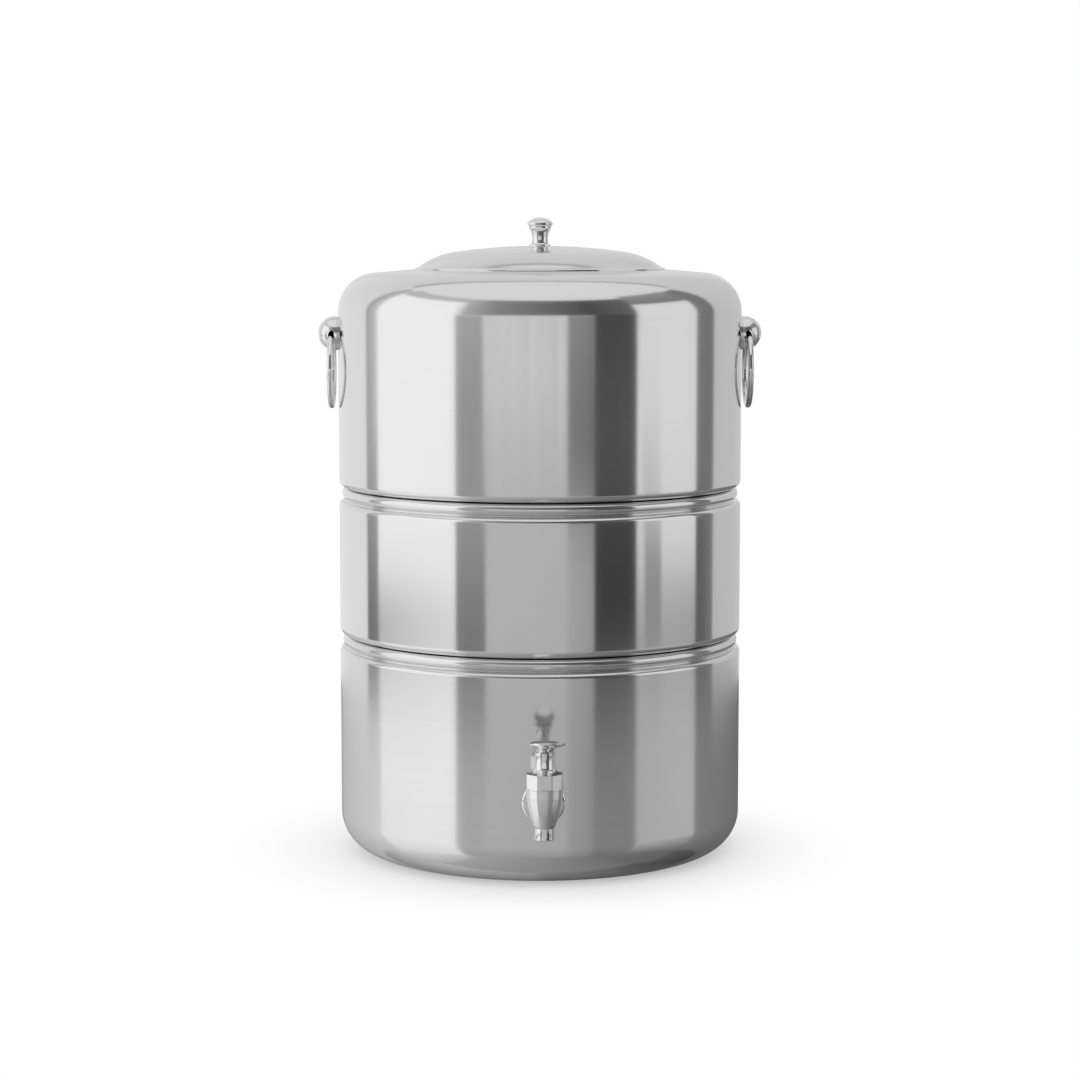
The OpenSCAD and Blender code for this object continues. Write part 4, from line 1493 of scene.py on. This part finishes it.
    def build(self) -> None:
        """Builds the tap's bright pieces and its spring."""
        self.build_body()
        self.build_bonnet()
        self.build_lever()
        self.build_spring()


class Hardware:
    """The small CAD parts that keep their own shapes."""

    def build(self) -> None:
        """Dresses every CAD node that is still shown."""
        by_slot = {finish.slot.value: finish.material() for finish in (HARDWARE, SOLDER, RUBBER)}
        slots = {part["node"]: part["material_slot"] for part in frame["record"]["subparts"]}
        for node, piece in frame["nodes"].items():
            if piece.hide_render:
                continue
            dressed(piece, by_slot[slots[node]])
            log.info("%s keeps its own shape, in %s", node, slots[node])


@dataclass
class StudioCard:
    """A plainly lit card of the studio, bent round the pot, that only reflections see.

    Attributes:
        name: Name of the card.
        left: Left edge as the pot sees it, in degrees from the camera.
        right: Right edge in degrees.
        low: Lower edge above the horizon in degrees.
        high: Upper edge in degrees.
        level: Brightness at the top of the left edge, where 1 is white.
        right_level: Brightness at the top of the right edge, or None for the left edge's.
        foot: Share of the brightness at the lower edge.
        streaks: Depth of the upright streaks, as a share of the brightness.
        streak_scale: Streaks across and up the card.
        streak_detail: Detail of the streaks' noise.
        streak_rough: Roughness of the streaks' noise.
        lift: Extra rise of the left edge in degrees.
        arched: Whether the card arches over or under the pot from the front: its heights then go on to the
            back, and its sides are angles to the left and right of the arch.
        away: Distance of the card from the pot's middle in metres.
        height: Height of the pot's middle in metres.
        facet: Largest angle between the card's points, in degrees.
    """

    name: str
    left: float
    right: float
    low: float
    high: float
    level: float
    right_level: float | None = None
    foot: float = 1.0
    streaks: float = 0.0
    streak_scale: tuple[float, float, float] = (9, 2.5, 1)
    streak_detail: float = 2
    streak_rough: float = 0.5
    lift: float = 0.0
    arched: bool = False
    away: float = 2.2
    height: float = 0.13
    facet: float = 3

    def direction(self, across: float, up: float) -> Vector:
        """Direction of a point of the card from the pot, with the camera along X.

        Args:
            across: Share of the way from the left edge to the right edge.
            up: Share of the way from the lower edge to the upper edge.

        Returns:
            The direction.
        """
        side = math.radians(self.left + (self.right - self.left) * across)
        rise = math.radians(self.low + (self.high - self.low) * up + self.lift * (1 - across))
        if self.arched:
            return Vector((math.cos(side) * math.cos(rise), math.sin(side), math.cos(side) * math.sin(rise)))
        return Vector((math.cos(rise) * math.cos(side), math.cos(rise) * math.sin(side), math.sin(rise)))

    def mesh(self, heading: float) -> Piece:
        """Builds the card's bent face.

        Args:
            heading: Direction of the camera round the pot in radians.

        Returns:
            The card, with a layer of coordinates along its width and height.
        """
        wide = max(2, math.ceil((self.right - self.left) / self.facet))
        tall = max(2, math.ceil((self.high - self.low) / self.facet))
        points, faces, places = [], [], []
        turn = Matrix.Rotation(heading, 3, "Z")
        for i in range(tall + 1):
            for j in range(wide + 1):
                place = turn @ self.direction(j / wide, i / tall) * self.away
                points.append((place.x, place.y, place.z + self.height))
                places.append((j / wide, i / tall))
        for i in range(tall):
            for j in range(wide):
                a = i * (wide + 1) + j
                faces.append([a, a + 1, a + wide + 2, a + wide + 1])
        card = new_piece(self.name, points, faces)
        layer = card.data.uv_layers.new(name="card")
        for loop in card.data.loops:
            layer.data[loop.index].uv = places[loop.vertex_index]
        return card

    def material(self) -> bpy.types.Material:
        """Makes the card's plain light.

        Returns:
            The material.
        """
        sheet = NodeSheet(self.name)
        place = sheet.add("TexCoord").outputs["UV"]
        across, up, _ = sheet.add("SeparateXYZ", Vector=place).outputs
        right_level = self.level if self.right_level is None else self.right_level
        level = sheet.ramp(across, self.level, right_level)
        strength = sheet.math("MULTIPLY", level, sheet.ramp(up, self.foot, 1))
        if self.streaks:
            stretched = sheet.add("Mapping", Vector=place, Scale=self.streak_scale).outputs[0]
            noise = sheet.noise(stretched, 1, self.streak_detail, self.streak_rough)
            shade = sheet.ramp(noise, 1 - self.streaks, 1 + self.streaks, NOISE_SPAN)
            strength = sheet.math("MULTIPLY", strength, shade)
        material = sheet.output(sheet.add("Emission", Strength=strength))
        material.cycles.emission_sampling = "NONE"
        return material

    def build(self, heading: float) -> None:
        """Builds and lights the card.

        Args:
            heading: Direction of the camera round the pot in radians.
        """
        card = self.mesh(heading)
        dressed(card, self.material())
        card.visible_camera = False
        card.visible_diffuse = False
        card.visible_shadow = False


@dataclass
class Studio:
    """The pale floor, the white surroundings, the cards and the camera.

    Attributes:
        lens: Focal length of the camera in millimetres.
        sensor: Width of its sensor in millimetres.
        sight: Distance that the camera sees to, in metres.
        distance: Distance of the camera from the pot's axis in metres.
        height: Height of the camera in metres.
        pitch: Downward tilt of the camera in degrees.
        heading: Turn of the camera round the pot in degrees, to the left of the tap.
        floor_r: Radius of the floor in metres.
        floor_steps: Corners of the floor.
        floor_tone: Reflectance of the floor by the pot.
        fade_start: Distance from the pot's axis at which the floor starts to fade to white, in metres.
        fade_end: Distance at which the floor is white, in metres.
        fade_least: Share of white glow under the pot, painted light that thins the pot's shadow.
    """

    lens: float = 93.47
    sensor: float = 36
    sight: float = 50
    distance: float = 1.1735
    height: float = 0.2582
    pitch: float = 6.23
    heading: float = 0.95
    floor_r: float = 9.0
    floor_steps: int = 96
    floor_tone: float = 0.96
    fade_start: float = 0.06
    fade_end: float = 0.14
    fade_least: float = 0.3

    def camera_turn(self) -> float:
        """Direction of the camera round the pot in radians."""
        return math.radians(FRONT - self.heading)

    def build_camera(self) -> None:
        """Builds the camera at the photograph's viewing angle."""
        data = bpy.data.cameras.new("camera")
        data.lens = self.lens
        data.sensor_width = self.sensor
        data.clip_end = self.sight
        camera = bpy.data.objects.new("camera", data)
        turn = self.camera_turn()
        camera.location = (self.distance * math.cos(turn), self.distance * math.sin(turn), self.height)
        camera.rotation_euler = (math.radians(90 - self.pitch), 0, math.radians(-self.heading))
        bpy.context.scene.collection.objects.link(camera)
        bpy.context.scene.camera = camera

    def build_world(self) -> None:
        """Builds plain white surroundings."""
        world = bpy.data.worlds.new("white_surroundings")
        world.use_nodes = True
        background = world.node_tree.nodes["Background"]
        background.inputs["Color"].default_value = (1, 1, 1, 1)
        background.inputs["Strength"].default_value = 1
        bpy.context.scene.world = world

    def build_floor(self) -> None:
        """Builds the pale floor, which takes the pot's shadow thinned by a painted white glow, and glows
        plain white further out.
        """
        turns = np.linspace(0, 2 * math.pi, self.floor_steps + 1)[:-1]
        points = [(self.floor_r * math.cos(turn), self.floor_r * math.sin(turn), 0) for turn in turns]
        floor = new_piece("pale_floor", points, [list(range(self.floor_steps))])
        sheet = NodeSheet("pale_floor")
        place = sheet.add("TexCoord").outputs["Object"]
        away = sheet.add("VectorMath", operation="LENGTH", Vector=place).outputs["Value"]
        # Painted light: a white glow mixed into the floor thins the pot's shadow near it and clears it past
        # fade_end.
        fade = sheet.ramp(away, self.fade_least, 1, (self.fade_start, self.fade_end), "SMOOTHSTEP")
        tone = self.floor_tone
        pale = sheet.add("BsdfDiffuse", Color=(tone, tone, tone, 1))
        white = sheet.add("Emission", Strength=1.0)
        both = sheet.add("MixShader")
        for socket, source in zip(both.inputs, (fade, pale.outputs[0], white.outputs[0])):
            sheet.feed(socket, source)
        material = sheet.output(both)
        material.cycles.emission_sampling = "NONE"
        dressed(floor, material)
        floor.visible_glossy = False

    def cards(self) -> list[StudioCard]:
        """Lists the cards that the polished steel reflects.

        Returns:
            The cards: round the pot from its left, then higher up, over it and under it.
        """
        near = partial(StudioCard, away=2.1)
        over = partial(StudioCard, arched=True, away=2.6)
        under = partial(StudioCard, arched=True, away=2.3)
        return [
            StudioCard("left_softbox", -103, -47.4, -7.2, 44, 1.06),
            StudioCard("left_table_edge", -103, -47.4, -9.8, -7.3, 0.52, 0.84, foot=0.72),
            StudioCard("left_table", -101.5, -47.4, -40, -9.8, 1.02, 1.06, foot=0.8),
            StudioCard("left_edge_flag", -114, -103, -2.8, 48, 0.37, 0.68),
            StudioCard("left_edge_flag_foot", -114, -103, -10.5, -2.8, 0.40, 0.55, foot=0.15),
            StudioCard("left_edge_table", -155, -101.5, -40, -10.5, 0.56, 0.80, foot=0.85),
            StudioCard("left_edge_table_back", -180, -155, -40, -10.5, 0.14, 0.55, foot=0.85),
            StudioCard("left_flag", -47.4, -31.3, -3, 5, 0.66, foot=0.33, streaks=0.15),
            StudioCard("left_flag_foot", -47.4, -30, -11, -3, 0.46, foot=0.18, streaks=0.15),
            StudioCard("left_flag_table", -47.4, -31.3, -40, -11, 0.52, foot=0.75),
            StudioCard("curtain", -31.3, 15, -2.7, 5, 0.80, 0.76, foot=0.92, streaks=0.16),
            StudioCard("curtain_foot", -31.3, 15, -3.9, -2.7, 0.46, 0.44, streaks=0.1),
            StudioCard("curtain_hem", -30, 15, -11, -3.9, 0.57, 0.55, foot=0.9),
            StudioCard("curtain_shade", 15, 30, -4.6, 5, 0.50, 0.44, foot=0.13, streaks=0.25),
            StudioCard("curtain_shade_hem", 15, 30, -9.2, -4.6, 0.50, 0.42, foot=0.92),
            StudioCard("front_table", -31.3, 15, -40, -11, 0.54, 0.48, foot=0.75),
            StudioCard("front_table_right", 15, 30, -40, -9.2, 0.42, 0.34, foot=0.75),
            StudioCard("right_flag", 30, 54.8, -1.2, 5, 0.05, foot=1.5, streaks=0.3),
            StudioCard("right_flag_middle", 30, 54.8, -4.8, -1.2, 0.12, foot=0.8, streaks=0.3),
            StudioCard("right_flag_foot", 30, 54.8, -9.6, -4.8, 0.045, foot=0.8),
            StudioCard("right_flag_edge", 30, 54.8, -11.6, -9.6, 0.13, 0.19),
            StudioCard("right_flag_table", 30, 54.8, -40, -11.6, 0.28, foot=0.7),
            StudioCard("right_panel", 54.8, 97.5, -6.6, 40, 0.84, 0.82),
            near("right_panel_shade", 58, 70, -5.6, -2.6, 0.60, 0.70),
            near("right_panel_streak", 60, 71, -9.6, -5.6, 0.28, foot=0.9),
            StudioCard("right_table_edge", 54.8, 97.5, -9.6, -6.6, 0.60, 0.56, foot=0.42),
            StudioCard("right_table", 54.8, 97.5, -16, -9.6, 0.50, 0.55),
            StudioCard("right_deep_table", 54.8, 97.5, -40, -16, 0.50, 0.42, foot=0.35),
            StudioCard("right_edge_flag", 97.5, 114, -4.6, 48, 0.22, 0.19),
            StudioCard("right_edge_flag_foot", 97.5, 114, -10.5, -4.6, 0.10, 0.25, foot=0.8),
            StudioCard("right_edge_table", 97.5, 180, -40, -10.5, 0.27, 0.14, foot=0.7),
            StudioCard("back_right", 114, 165, -10.5, 50, 0.69, 0.70, foot=0.85),
            StudioCard("back_middle", 165, 195, -10.5, 50, 0.70, 0.74),
            StudioCard("back_left", 195, 246, -10.5, 50, 0.74, 0.75, foot=1.17),
            StudioCard("front_header_left", -44, -25, 5, 45, 0.50, 0.27),
            StudioCard("front_header", -25, 27, 5, 45, 0.27, 0.085),
            StudioCard("front_header_right", 27, 54.8, 5, 45, 0.085, 0.14),
            near("left_header", -103, -44, 36, 46, 0.56, lift=5),
            near("right_header", 54.8, 97.5, 29, 50, 0.33, foot=0.62),
            over("ceiling", -89, 89, 0, 112, 0.88, 0.77),
            over("ceiling_edge", -89, 89, 112, 116, 0.34),
            over("back_wall", -89, 89, 116, 185, 0.75, 0.69),
            under("deep_table_left", -60, -31, -100, -38, 1.05, 0.62, foot=0.8),
            under("deep_table", -31, 30, -92, -38, 0.47, 0.20, foot=0.92),
            under("deep_table_right", 30, 60, -100, -38, 0.20, foot=0.75),
            under("deep_back_left", -60, -31, -165, -100, 0.82, 0.50, foot=0.5),
            under("deep_back_middle", -31, 0, -165, -92, 0.62, 0.36, foot=0.25),
            under("deep_back", 0, 30, -165, -92, 0.29, 0.10, foot=0.1),
            under("deep_back_right", 30, 60, -165, -100, 0.11, foot=0.4),
        ]

    def build(self) -> None:
        """Builds the whole studio."""
        self.build_camera()
        self.build_world()
        self.build_floor()
        for card in self.cards():
            card.build(self.camera_turn())
        bpy.context.scene.view_settings.view_transform = "Standard"


def main() -> None:
    """Builds the pot and its studio."""
    logging.basicConfig(level=logging.INFO)
    Studio().build()
    shells = Shells()
    handles = [RingHandle(side, shells.radius) for side in Side]
    tap = Tap(shells.radius)
    shells.build(handles[0].stud, tap.shank)
    Lid().build()
    Knob().build()
    for handle in handles:
        handle.build()
    tap.build()
    Hardware().build()


if __name__ == "__main__":
    main()
